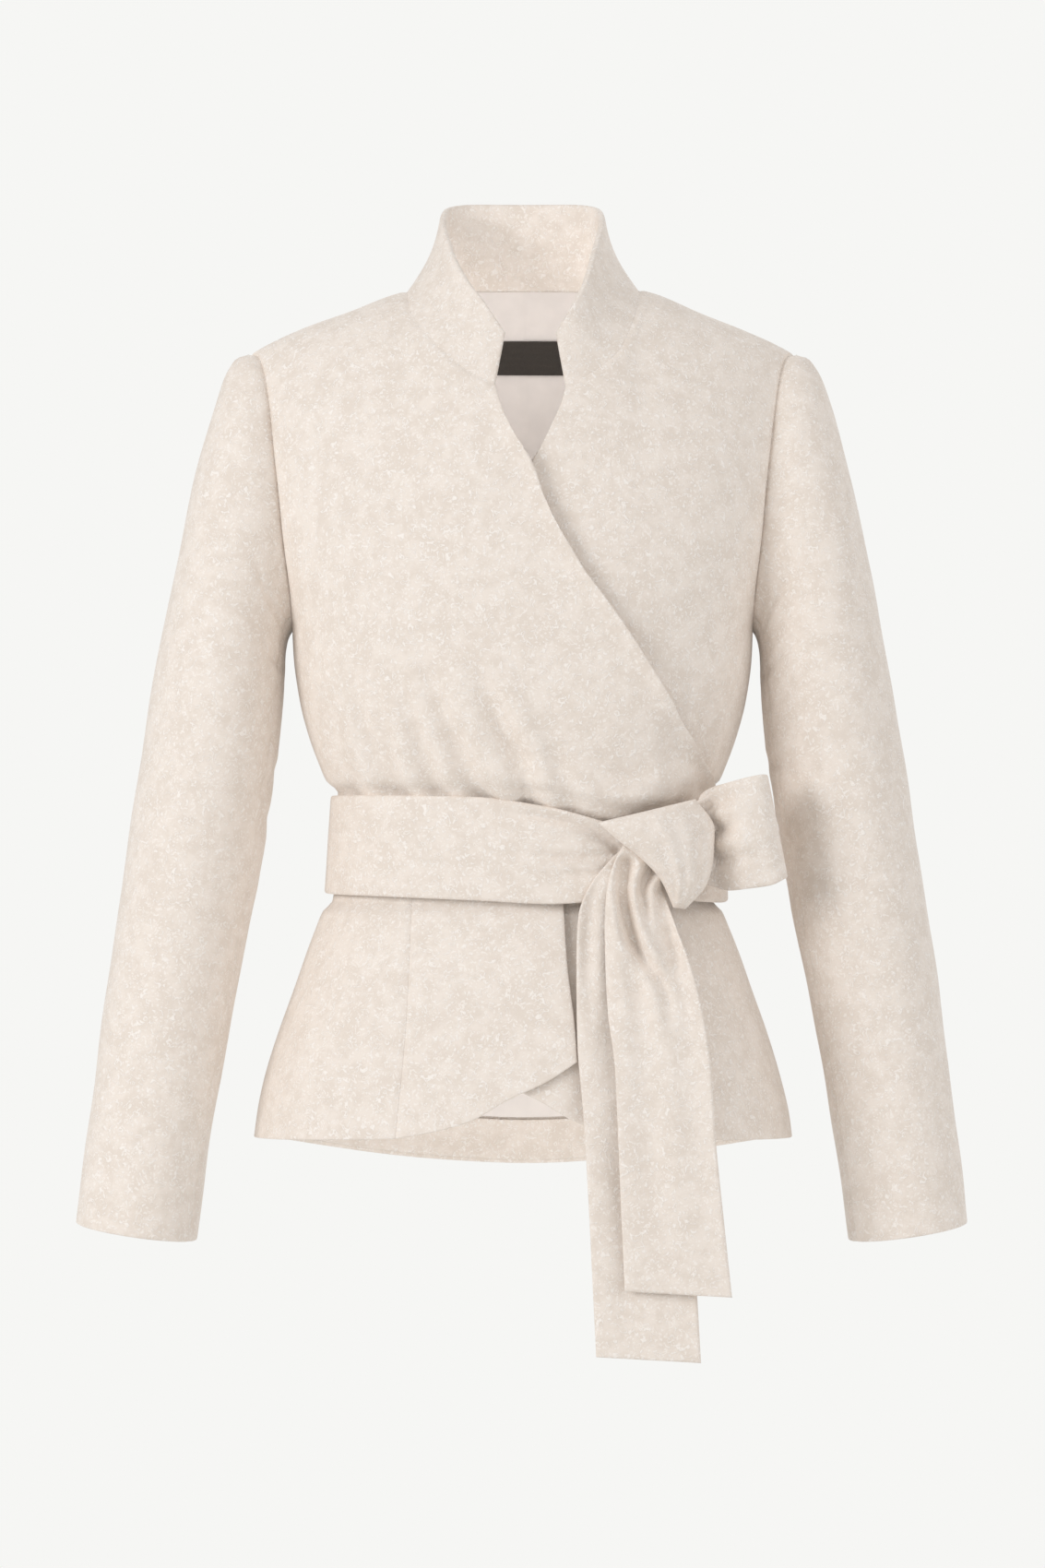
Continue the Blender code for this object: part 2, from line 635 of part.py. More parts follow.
def cloth(name, outer, inner, finish=WOOL):
    """A closed wall of cloth between an outer and an inner grid."""
    bm = bmesh.new()
    face = lay_grid(bm, outer)
    before = set(bm.faces)
    lining = lay_grid(bm, inner)
    bmesh.ops.reverse_faces(bm, faces=[f for f in bm.faces if f not in before])
    spots = border(*outer.shape[:2])
    for a, b in zip(spots, spots[1:] + spots[:1]):
        bm.faces.new((face[b], face[a], lining[a], lining[b]))
    mesh = bpy.data.meshes.new(name)
    bm.to_mesh(mesh)
    bm.free()
    return keep(mesh, name, finish)


def panel(name, grid, face=0, lift=0.0, thickness=CLOTH, finish=WOOL, trim=SEAM_GAP / 2):
    """A piece of cloth on the body form; lift says how far its outer face stands off the form.

    Front pieces (face 1) stay before the plane of the side and shoulder seams, back ones behind it.
    """
    turn, level = grid[..., 0], grid[..., 1]
    walls = [trimmed(on_form(turn, level, lift - depth), trim, trim) for depth in (0, thickness)]
    for wall in walls:
        if face > 0:
            wall[..., 1] = np.minimum(wall[..., 1], -SEAM_GAP / 2)
        if face < 0:
            wall[..., 1] = np.maximum(wall[..., 1], SEAM_GAP / 2)
    return cloth(name, *walls, finish)


def front_grid(side, steps):
    """steps: how the waist is shared out from the side seam, 0, to the free edge, 1."""
    outer = side_edge(side, 1, rows_above(CINCH_ROWS, UNDERARM, SIDE_ROWS))
    cinch = edge_at(WRAP_EDGE, side, np.array(CINCH_ROWS))
    start = marks(WRAP_EDGE, side)
    above = along(start[start[:, 1] >= CINCH_ROWS[-1]], 1 - shares(WRAP_ROWS - len(CINCH_ROWS)))
    neck = edge(NECK_FRONT, side, shares(NECK_FRONT_STEPS))
    free = np.concatenate([cinch, place(above[:, 0], above[:, 1])[:-1], neck])
    turns = outer[0, 0] + (free[0, 0] - outer[0, 0]) * steps
    bottom = np.stack([turns, np.full(len(steps), level_at(WAIST))], -1)
    top = shoulder(side, 1 - shares(len(steps) - 1))
    if side > 0:
        return patch(bottom[::-1], top[::-1], free, outer)
    return patch(bottom, top, outer, free)


def build_fronts():
    right = front_grid(-1, RIGHT_FRONT_COLUMNS)
    at = on_form(right[..., 0], right[..., 1])
    panel("front_right", right, 1, wrap_lift(at, -1) + pleat_lift(at) + blouse_lift(at))
    left = front_grid(1, shares(LEFT_FRONT_COLUMNS))
    at = on_form(left[..., 0], left[..., 1])
    panel("front_left", left, 1, wrap_lift(at, 1) + blouse_lift(at))


def back_grid(heights, arm_rows, shoulder_columns, neck_columns):
    """The back between its side seams, from a height up to the shoulders and the neck.

    Each half is a shoulder part and a neck part, which meet on a line up to the shoulder's neck end.
    """
    outer = side_edge(1, -1, heights, arm_rows)
    top = shoulder(1, 1 - shares(shoulder_columns), -1)
    neck = edge(NECK_BACK, 1, shares(neck_columns), back=True, pulled=False)
    split = 90 + 90 * shoulder_columns / (shoulder_columns + neck_columns)
    meeting, middle = outer.copy(), outer.copy()
    meeting[:, 0] = split + (top[-1, 0] - split) * ease(0, 1, share_of(outer[:, 1]))
    middle[:, 0] = 180.0
    beside = patch(straight(outer[0], meeting[0], shoulder_columns), top, outer, meeting)
    inward = patch(straight(meeting[0], middle[0], neck_columns), neck, meeting, middle)
    half = np.concatenate([beside, inward[:, 1:]], axis=1)
    mirrored = half[:, -2::-1].copy()
    mirrored[..., 0] = 360 - mirrored[..., 0]
    return np.concatenate([half, mirrored], axis=1)


def build_back():
    heights = rows_above(CINCH_ROWS, UNDERARM, BACK_ROWS)
    panel("back", back_grid(heights, ARMHOLE_STEPS, BACK_SHOULDER_COLUMNS, NECK_BACK_STEPS), -1)


def hem_height(turn):
    """The hem behind the side seams drops towards the back centre."""
    behind = (1 - np.cos(np.radians(np.abs(turn) - 90) * 2)) / 2
    return HEM_SIDE + (HEM_BACK - HEM_SIDE) * behind


def peplum_rows(low):
    """Heights from the hem up to the waist, close together under the belt."""
    return np.concatenate([np.linspace(low, PEPLUM_CINCH[0], PEPLUM_ROWS - 2)[:-1], PEPLUM_CINCH])


def peplum_grids(side):
    """The front and the side panel of one half of the peplum."""
    free = edge_at(PEPLUM_EDGE, side, peplum_rows(PEPLUM_EDGE[-1].height), pulled=False)
    seam = edge_at(PEPLUM_SEAM, side, peplum_rows(PEPLUM_SEAM[-1].height), pulled=False)
    across = shares(PEPLUM_FRONT_COLUMNS)
    hem = edge(PEPLUM_HEM, side, across, pulled=False)
    heights = peplum_rows(HEM_SIDE)
    outer = np.stack([np.full(len(heights), 90.0 * side), level_at(heights)], -1)
    front = (hem, straight(free[-1], seam[-1], PEPLUM_FRONT_COLUMNS), free, seam)
    low, high = (straight(seam[k], outer[k], PEPLUM_SIDE_COLUMNS) for k in (0, -1))
    beside = (low, high, seam, outer)
    if side > 0:
        return patch(*front), patch(*beside)
    return [patch(foot[::-1], head[::-1], b, a) for foot, head, a, b in (front, beside)]


def hem_band_grid(columns, facing=False):
    """The back peplum from its hem up to the waist, or only the facing's height."""
    turns = np.linspace(90, 270, columns + 1)
    low = hem_height(turns)
    if facing:
        levels = np.stack([level_at(low + FACING_EDGE), level_at(low + FACING_HEIGHT)])
    else:
        levels = level_at(np.stack([peplum_rows(height) for height in low], 1))
    return np.stack([np.broadcast_to(turns, levels.shape), levels], -1)


def build_peplum():
    for side, word in ((-1, "right"), (1, "left")):
        for kind, grid in zip(("front", "side"), peplum_grids(side)):
            at = on_form(grid[..., 0], grid[..., 1])
            panel("peplum_{}_{}".format(kind, word), grid, 1, wrap_lift(at, side))
    panel("peplum_back", hem_band_grid(PEPLUM_COLUMNS), -1)


def build_lining():
    facing = hem_band_grid(PEPLUM_COLUMNS, facing=True)
    panel("hem_facing", facing, -1, -(CLOTH + LAYER_GAP), FACING_CLOTH, trim=FACING_TRIM)
    low = HEM_SIDE + FACING_HEIGHT + LAYER_GAP
    heights = np.concatenate([[low], LINING_ROWS])
    grid = back_grid(heights, LINING_ARM_ROWS, LINING_SHOULDER_COLUMNS, LINING_NECK_COLUMNS)
    drop = level_at(hem_height(grid[0, :, 0])) - level_at(HEM_SIDE)
    grid[0, :, 1] += drop
    grid[1, :, 1] += drop / 2
    panel("back_lining", grid, -1, -(CLOTH + LINING_STAND), LINING_CLOTH, SATIN, LINING_TRIM)
    x = np.linspace(LABEL_X + LABEL_WIDTH / 2, LABEL_X - LABEL_WIDTH / 2, LABEL_POINTS[0])
    height = np.linspace(LABEL_BOTTOM, LABEL_TOP, LABEL_POINTS[1])
    spot = place(x[None, :], height[:, None], back=True)
    panel("label", spot, -1, -(CLOTH + LINING_STAND + LABEL_STAND), LABEL_CLOTH, WOVEN)


def neck_seams():
    """The neck seam of each half, from its notch to the back centre."""
    halves = []
    for side in (1, -1):
        front = edge(NECK_FRONT, side, shares(NECK_FRONT_STEPS))
        back = edge(NECK_BACK, side, shares(NECK_BACK_STEPS), back=True, pulled=False)
        if side < 0:
            back[:, 0] = np.where(back[:, 0] > 0, back[:, 0], 360 + back[:, 0])
        line = np.concatenate([front, back[1:]])
        halves.append(on_form(line[:, 0], line[:, 1]))
    return halves


def build_collar():
    halves = []
    for seam, side in zip(neck_seams(), (1, -1)):
        run = np.concatenate([[0], np.cumsum(np.linalg.norm(np.diff(seam, axis=0), axis=1))])
        at = run / run[-1]
        share = column(COLLAR_TOP, "share")
        top = np.stack([smooth(share, column(COLLAR_TOP, n), at) for n in ("x", "y", "height")], -1)
        top[:, 0] = top[:, 0] * side + NECK_PULL * (1 - ease(0.0, 0.4, at))
        up = shares(COLLAR_ROWS)[:, None, None]
        band = (1 - up) * seam + up * top
        inward = band * np.array([1, 1, 0])
        hollow = COLLAR_HOLLOW * np.sin(math.pi * up) * ease(0.0, 0.3, at)[None, :, None]
        halves.append(band - unit(inward) * hollow)
    band = np.concatenate([halves[0], halves[1][:, ::-1][:, 1:]], axis=1)
    inner = trimmed(inside(band, COLLAR_CLOTH))
    outer = trimmed(band)
    outer[0, :, 2] += COLLAR_CLEAR
    inner[0, :, 2] = outer[0, :, 2]  # the lower edge is level
    cloth("collar", outer, inner)


def sleeve_points(side):
    """Rings from the armhole to the cuff; ring points run tip, front, underarm, back, tip."""
    angle = np.linspace(0, 2 * math.pi, RING_STEPS + 1)
    rows = []
    front = armhole(side, 1, shares(ARMHOLE_STEPS)[::-1])
    back = armhole(side, -1, shares(ARMHOLE_STEPS))
    hole = np.concatenate([front, back[1:]])
    seam = on_form(hole[:, 0], hole[:, 1])
    for number, row in enumerate(SLEEVE):
        outer = np.array([row.outer_x * side, row.middle_y, row.outer_z])
        inner = np.array([row.inner_x * side, row.middle_y, row.inner_z])
        half = (outer - inner) / 2
        ahead = np.array([0, -row.half_depth, 0])
        ring = (outer + inner) / 2 + half * np.cos(angle)[:, None] + ahead * np.sin(angle)[:, None]
        if number == 0:
            rest = seam - ring
        ring = ring + rest * (1 - ease(0, SLEEVE_ROUNDING, number))
        rows.append(ring)
    return np.array(rows)


def build_sleeves():
    upper = np.arange(BACK_SEAM_STEP - RING_STEPS, FRONT_SEAM_STEP + 1)
    under = np.arange(FRONT_SEAM_STEP, BACK_SEAM_STEP + 1)
    for side, word in ((-1, "right"), (1, "left")):
        rings = sleeve_points(side)[::-1, :-1]
        if side < 0:
            inner = inside(rings, CLOTH, closed=True)
        else:
            inner = inside(rings[:, ::-1], CLOTH, closed=True)[:, ::-1]
        for name, steps in (("upper", upper), ("under", under)):
            steps = steps % RING_STEPS if side < 0 else steps[::-1] % RING_STEPS
            walls = [trimmed(wall[:, steps], SLEEVE_TRIM, SLEEVE_SIDE_TRIM) for wall in (rings, inner)]
            cloth("sleeve_{}_{}".format(name, word), *walls)


def belt_points(stand):
    turns = np.linspace(BELT[0].turn, BELT[-1].turn, BELT_COLUMNS + 1)
    rows = [smooth(column(BELT, "turn"), column(BELT, n), turns) for n in ("top", "bottom", "rise")]
    top, bottom, rise = rows
    up = shares(BELT_STEPS)[:, None]
    heights = (1 - up) * bottom + up * top
    grid_turns = np.broadcast_to(turns, heights.shape)
    level = np.full(heights.shape, level_at(WAIST))
    ahead = np.cos(np.radians(grid_turns)) > 0
    lift = wrap_lift(form(grid_turns, level), -1) * ahead + BELT_FLARE * (1 - up)
    points = on_form(grid_turns, level, stand + lift + rise)
    points[..., 2] = heights
    return points


def build_belt():
    cloth("belt_band", belt_points(BELT_STAND), belt_points(BELT_STAND - BELT_CLOTH))


def knot_turn(x):
    """How far back the body's curve takes what is tied at the knot."""
    past = np.maximum(x - KNOT_LEFT[-1].x, 0)
    return KNOT_TURN * past + KNOT_CURL * past**2


def knot_grid(steps):
    """The wrap of the knot, between its slanting left edge, its right edge, top and bottom."""
    left = along([(m.x, m.height) for m in KNOT_LEFT], shares(steps))
    right = along([(m.x, m.height) for m in KNOT_RIGHT], shares(steps))
    at = shares(steps)[None, :, None]
    flat = left[:, None] * (1 - at) + right[:, None] * at
    across, up = shares(steps)[None, :], shares(steps)[:, None]
    dome = (np.sin(math.pi * across) * np.sin(math.pi * up)) ** KNOT_FULLNESS
    back = KNOT_BACK + knot_turn(flat[..., 0])
    outer = np.stack([flat[..., 0], back - KNOT_EDGE - KNOT_DOME * dome, flat[..., 1]], -1)
    inner = np.stack([flat[..., 0], back, flat[..., 1]], -1)
    return outer, inner


def build_knot():
    cloth("belt_knot", *knot_grid(KNOT_STEPS))


def build_loop():
    up = shares(LOOP_STEPS)[:, None]
    x, y = column(LOOP, "x"), column(LOOP, "y")
    heights = (1 - up) * column(LOOP, "bottom") + up * column(LOOP, "top")
    bulge = np.sin(math.pi * up) * column(LOOP, "bulge")
    points = np.stack([x + column(LOOP, "lean") * up, y - bulge, heights], -1)
    cloth("belt_loop", points, inside(points, BELT_CLOTH))


def tail_points(table):
    at = shares(TAIL_ROWS)
    keys = np.linspace(0, 1, len(table))
    names = ("height", "left", "right", "y", "fold")
    height, left, right, y, fold = (smooth(keys, column(table, n), at)[:, None] for n in names)
    across = shares(TAIL_STEPS)[None, :]
    wave = np.sin(FOLD_WAVES * 2 * math.pi * across)
    x = left + (right - left) * across
    z = height - TAIL_SLANT * across * ease(0.5, 1.0, at)[:, None]
    turned = knot_turn(x) * (1 - ease(0.25, 0.6, at)[:, None])
    return np.stack([x, y + turned - fold * wave * 0.5, z], -1)[::-1]


def build_tails():
    for name, table in (("belt_tail_front", TAIL_FRONT), ("belt_tail_back", TAIL_BACK)):
        points = tail_points(table)
        cloth(name, points, points + np.array([0, BELT_CLOTH, 0]))


def main():
    for old in list(bpy.data.objects):
        bpy.data.objects.remove(old)
    made = bpy.data.collections.new("wrap_jacket")
    bpy.context.scene.collection.children.link(made)
    build_fronts()
    build_back()
    build_peplum()
    build_lining()
    build_collar()
    build_sleeves()
    build_belt()
    build_knot()
    build_loop()
    build_tails()


if __name__ == "__main__":
    main()
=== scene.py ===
"""A cream wool wrap jacket: fine cloth, tied belt and studio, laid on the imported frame.

Metres, +Z up, +X to the wearer's left, the front faces -Y. The origin lies between the two points
where the shoulder seams meet the neck.

The body is one smooth form. A place on it is a turn (degrees round the body: 0 front centre, 90 the
wearer's left side, 180 back centre) and a level (1 at the underarm, 2 on the shoulder ridge, less than
1 below the underarm). A piece of cloth is a fine grid laid on the form between four edges, lifted by
its folds, and given a wall with a rolled rim.
"""

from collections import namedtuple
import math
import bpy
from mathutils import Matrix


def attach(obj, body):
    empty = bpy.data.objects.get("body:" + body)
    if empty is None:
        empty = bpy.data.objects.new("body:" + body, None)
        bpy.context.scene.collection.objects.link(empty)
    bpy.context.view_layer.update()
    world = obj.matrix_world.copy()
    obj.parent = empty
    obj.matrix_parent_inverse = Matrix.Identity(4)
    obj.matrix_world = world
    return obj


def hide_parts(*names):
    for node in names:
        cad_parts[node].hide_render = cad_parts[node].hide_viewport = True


bl_info = {
    "name": "Wrap Jacket",
    "version": (1, 0, 0),
    "blender": (4, 5, 0),
    "location": "View3D > Sidebar > Jacket",
    "description": "Lays the fine cloth of a wool wrap jacket on its frame, with a plain studio",
    "category": "Add Mesh",
}

import bpy
import numpy as np

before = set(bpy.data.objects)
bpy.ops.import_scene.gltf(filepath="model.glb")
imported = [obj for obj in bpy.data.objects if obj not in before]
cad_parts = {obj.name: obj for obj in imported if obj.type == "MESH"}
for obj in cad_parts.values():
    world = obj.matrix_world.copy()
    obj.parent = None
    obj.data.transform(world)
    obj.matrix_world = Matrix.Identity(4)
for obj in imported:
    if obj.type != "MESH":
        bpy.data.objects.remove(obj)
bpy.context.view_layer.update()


def records(kind, *rows):
    """A table: each row of values as a record of this kind."""
    return tuple(kind(*row) for row in rows)


# ---------------------------------------------------------------- cloth
CLOTH = 0.0025  # boucle wool
BELT_CLOTH = 0.0042  # the belt is two plies
COLLAR_CLOTH = 0.0045  # collar and its facing
LINING_CLOTH = 0.0010
LABEL_CLOTH = 0.0008
CLOSE = 0.00003  # between two pieces that are sewn together
LAYER_GAP = 0.0004  # between a lining, facing or label and what it lies on
WRAP_RISE = 0.0050  # how far the right front stands out over the left one
BELT_SLOPE = 0.0140  # how far the belt's upper edge comes down towards the knot
BELT_SLOPE_RUN = (0.000, 0.070)
BELT_SLOPE_END = (0.085, 0.108)

# ---------------------------------------------------------------- body form
UNDERARM = -0.2345
LEVEL_SPAN = 0.40  # height of one level below the underarm
WAIST = -0.390
HEM_SIDE = -0.5945
HEM_BACK = -0.6265
SQUARENESS = 2.3  # of the rings; 2 would be an ellipse
FRONT_FALL = 1.7  # how full the chest stays below the shoulder
BACK_FALL = 2.6
SHOULDER_HALF = 0.1930
TIP_SHY = 12.0

Ring = namedtuple("Ring", "height half_width front back")
BODY = records(Ring,
    (-0.64, 0.1965, 0.1385, 0.156), (-0.596, 0.19, 0.1345, 0.148), (-0.573, 0.1866, 0.1315, 0.143),
    (-0.521, 0.172, 0.123, 0.13), (-0.469, 0.1537, 0.111, 0.113), (-0.448, 0.1455, 0.105, 0.103),
    (-0.435, 0.14, 0.1012, 0.0965), (-0.4285, 0.1338, 0.097, 0.0897), (-0.39, 0.1295, 0.095, 0.086),
    (-0.3515, 0.13, 0.0955, 0.086), (-0.3435, 0.1385, 0.102, 0.0895), (-0.333, 0.143, 0.106, 0.0915),
    (-0.313, 0.15, 0.112, 0.095), (-0.287, 0.157, 0.1165, 0.1), (-0.26, 0.161, 0.1185, 0.103),
    (UNDERARM, 0.1625, 0.119, 0.104))

Crest = namedtuple("Crest", "x height")
RIDGE = records(Crest,
    (0.0, 0.053), (0.045, 0.033), (0.07, 0.014), (0.0825, 0.0025), (0.0956, -0.002), (0.1235, -0.014),
    (0.158, -0.027), (0.183, -0.0385), (0.2, -0.049))

PEPLUM_ROWS = 7
BACK_ROWS = 7
BACK_SHOULDER_COLUMNS = 3

# ---------------------------------------------------------------- edges on the form
ARMHOLE_REACH = {1: 25.5, -1: 24.0}  # degrees forward of the side, and back of it
ARMHOLE_STEPS = 8
CINCH_ROWS = (-0.390, -0.370, -0.3515, -0.3435, -0.333)  # close together where the belt presses
SIDE_ROWS = 10  # rows of a front below its armhole
WRAP_ROWS = 11  # rows of a front below its neck edge
PEPLUM_CINCH = (-0.448, -0.435, -0.4285, -0.390)
LINING_ROWS = (-0.500, -0.448, -0.4285, -0.390, -0.3515, -0.280)
NECK_PULL = 0.0055  # the crossing fronts pull the neck to the wearer's left
PULL_LEVELS = (-0.35, -0.16)

Mark = namedtuple("Mark", "x height")
NECK_FRONT = records(Mark,  # from the notch to the shoulder
    (0.0245, -0.0725), (0.0375, -0.0655), (0.049, -0.058), (0.0625, -0.045), (0.0735, -0.0285),
    (0.08, -0.0135), (0.0825, 0.0025))
NECK_BACK = records(Mark,  # from the shoulder to the back centre
    (0.0825, 0.0025), (0.0775, 0.0035), (0.06, 0.007), (0.035, 0.01), (0.0, 0.011))
WRAP_EDGE = records(Mark,  # a front's free edge from the notch to the waist, crossing the centre
    (0.0245, -0.0725), (0.018, -0.0941), (0.0075, -0.1142), (-0.0015, -0.129), (-0.0132, -0.1643),
    (-0.0237, -0.1799), (-0.0353, -0.1996), (-0.0494, -0.2182), (-0.0644, -0.2379), (-0.095, -0.2839),
    (-0.117, -0.3246), (-0.1265, -0.3432), (-0.1275, -0.39))
PEPLUM_EDGE = records(Mark,  # a front peplum's free edge from the waist to its corner
    (-0.0255, -0.39), (-0.0279, -0.4267), (-0.0303, -0.4676), (-0.0352, -0.5084), (-0.037, -0.5337))
PEPLUM_HEM = records(Mark,  # from that corner to the side
    (-0.037, -0.5337), (-0.0165, -0.5468), (0.0109, -0.5598), (0.0364, -0.5741), (0.0614, -0.5811),
    (0.0865, -0.586))
PEPLUM_SEAM = records(Mark,  # between the front and side peplum
    (0.0735, -0.39), (0.0756, -0.4267), (0.0789, -0.5015), (0.0813, -0.5307), (0.0865, -0.586))

# Soft pleats pressed in by the belt: a trough from its foot at the belt to its head.
Pleat = namedtuple("Pleat", "foot_x foot_height head_x head_height depth")
PLEATS = records(Pleat,
    (-0.089, -0.352, -0.103, -0.302, 0.003), (-0.0585, -0.352, -0.073, -0.26, 0.0022),
    (-0.027, -0.354, -0.07, -0.248, 0.0028), (0.002, -0.356, -0.035, -0.256, 0.0034))
PLEAT_HALF = 0.011
RIDGE_ASIDE = 1.2  # the fold beside a trough, in halves of its width
TROUGH_SHARE = 0.35

# ---------------------------------------------------------------- collar
CollarTop = namedtuple("CollarTop", "share x y height")
COLLAR_TOP = records(CollarTop,  # share of the way along the neck seam, from the notch to the back centre
    (0.0, 0.0174, -0.08, -0.0355), (0.09, 0.0305, -0.074, -0.015), (0.2, 0.0415, -0.062, 0.002),
    (0.32, 0.049, -0.045, 0.02), (0.43, 0.054, -0.025, 0.037), (0.55, 0.058, -0.002, 0.053),
    (0.68, 0.056, 0.025, 0.063), (0.82, 0.038, 0.045, 0.068), (1.0, 0.0, 0.053, 0.069))
COLLAR_SEAM_CLOTH = 0.0042  # and where it is sewn to the neck
COLLAR_HANG = 0.0030  # how far its facing comes down over the lining
COLLAR_EASINGS = 30  # how often the line over the back centre is evened out
COLLAR_HOLLOW = 0.0045  # how far the band curves in between seam and top
COLLAR_EASED = 4  # lines to each side of the back centre that the easing moves
COLLAR_PULLED, COLLAR_HOLLOWS, COLLAR_THICKENS = (0.0, 0.4), (0.0, 0.3), (0.0, 0.25)  # shares
NECK_FRONT_STEPS = SIDE_ROWS + ARMHOLE_STEPS - WRAP_ROWS
NECK_BACK_STEPS = 4

# ---------------------------------------------------------------- sleeves
SleeveRow = namedtuple("SleeveRow", "outer_x outer_z inner_x inner_z middle_y half_depth")
SLEEVE = records(SleeveRow,
    (0.193, -0.044, 0.1625, -0.2345, 0.001, 0.041), (0.2, -0.0455, 0.1665, -0.24, 0.001, 0.045),
    (0.2075, -0.056, 0.1682, -0.246, 0.0, 0.049), (0.216, -0.08, 0.169, -0.254, -0.001, 0.053),
    (0.2275, -0.118, 0.1692, -0.266, -0.002, 0.057), (0.2378, -0.162, 0.1695, -0.282, -0.004, 0.0595),
    (0.2475, -0.211, 0.1708, -0.302, -0.006, 0.06), (0.257, -0.26, 0.173, -0.33, -0.009, 0.0595),
    (0.266, -0.315, 0.1775, -0.364, -0.012, 0.058), (0.2735, -0.368, 0.184, -0.406, -0.016, 0.056),
    (0.2815, -0.423, 0.1928, -0.455, -0.0205, 0.0531), (0.29, -0.485, 0.2026, -0.509, -0.0268, 0.05),
    (0.2978, -0.548, 0.2126, -0.564, -0.033, 0.0465), (0.305, -0.608, 0.2205, -0.6175, -0.0395, 0.0432),
    (0.3095, -0.65, 0.2262, -0.6625, -0.045, 0.041))
SLEEVE_ROUNDING = 5  # rows over which the armhole's own shape fades into an ellipse
FRONT_SEAM_STEP = 7  # ring points from the shoulder to the forearm seam
BACK_SEAM_STEP = 12  # and on to the seam down the back of the arm
RING_STEPS = 2 * ARMHOLE_STEPS

# ---------------------------------------------------------------- lining, facing, label
FACING_CLOTH = 0.0020
FACING_HEIGHT = 0.034
FACING_EDGE = 0.002  # the hem's own edge shows below the facing
FACING_TRIM = 0.0010
LINING_STAND = 0.0023  # the lining hangs this far inside the back
LINING_TRIM = 0.0004  # and this far short of the seams round it
LINING_ARM_ROWS = 5
LINING_SHOULDER_COLUMNS = 2
LINING_NECK_COLUMNS = 3
LABEL_STAND = 0.0032
LABEL_WIDTH = 0.062
LABEL_TOP = -0.0235
LABEL_BOTTOM = -0.0480
LABEL_X = 0.0030

# ---------------------------------------------------------------- belt
BeltRow = namedtuple("BeltRow", "turn top bottom rise")
BELT = records(BeltRow,  # from the knot round the wearer's left side and back to the knot again
    (46.0, -0.368, -0.423, 0.003), (56.0, -0.362, -0.427, 0.0005), (75.0, -0.357, -0.4285, 0.0),
    (110.0, -0.354, -0.425, 0.0), (180.0, -0.3525, -0.4235, 0.0), (270.0, -0.354, -0.4225, 0.0),
    (310.0, -0.3535, -0.4228, 0.0), (345.0, -0.3545, -0.425, 0.0), (368.0, -0.3615, -0.4275, 0.0006),
    (380.0, -0.369, -0.426, 0.003), (390.0, -0.376, -0.418, 0.005), (400.0, -0.38, -0.412, 0.005))
BELT_STAND = 0.0060  # the belt's outer face over the form at the waist
BELT_FLARE = 0.0040  # how much further its lower edge stands out

KNOT_LEFT = records(Mark,  # the wrap's slanting left edge, bottom to top
    (0.1026, -0.43), (0.0939, -0.4113), (0.0808, -0.3968), (0.0646, -0.3838), (0.0509, -0.3719))
KNOT_RIGHT = records(Mark,
    (0.111, -0.431), (0.1263, -0.413), (0.1306, -0.395), (0.1313, -0.3767), (0.118, -0.356))
KNOT_BACK = -0.1185  # depth of the knot's back at its left end
KNOT_TURN = 0.12  # how the knot, the loop and the tails' tops follow the body round
KNOT_CURL = 3.0
KNOT_EDGE = 0.0045
KNOT_DOME = 0.0190
KNOT_FULLNESS = 0.45  # how square the dome is; less is squarer
KNOT_HOLLOW = 0.25  # share of the dome that is hollow behind it
KNOT_WIDTH = 0.075
LOOP_HEIGHT = 0.070
LOOP_SPANS = (0.017, 0.012, 0.016, 0.014, 0.0095, 0.007, 0.007, 0.0105, 0.014, 0.015, 0.012, 0.013)
TAIL_WIDTH = 0.07

LoopRow = namedtuple("LoopRow", "x y top bottom bulge lean")
LOOP = records(LoopRow,  # out from behind the knot, round the fold and back again
    (0.115, -0.0976, -0.361, -0.405, 0.0, 0.0), (0.13, -0.0866, -0.352, -0.416, 0.0, -0.003),
    (0.14, -0.092, -0.347, -0.419, 0.003, -0.007), (0.153, -0.101, -0.343, -0.4175, 0.0055, -0.01),
    (0.167, -0.102, -0.34, -0.415, 0.0035, -0.0125), (0.176, -0.0985, -0.3389, -0.411, 0.001, -0.014),
    (0.1785, -0.092, -0.3389, -0.41, 0.0, -0.014), (0.176, -0.0855, -0.3392, -0.4105, -0.001, -0.014),
    (0.167, -0.08, -0.3405, -0.414, -0.0025, -0.0125), (0.153, -0.0775, -0.344, -0.4165, -0.003, -0.01),
    (0.138, -0.078, -0.349, -0.4165, -0.002, -0.007), (0.127, -0.081, -0.3535, -0.4145, 0.0, -0.003),
    (0.116, -0.087, -0.362, -0.404, 0.0, 0.0))

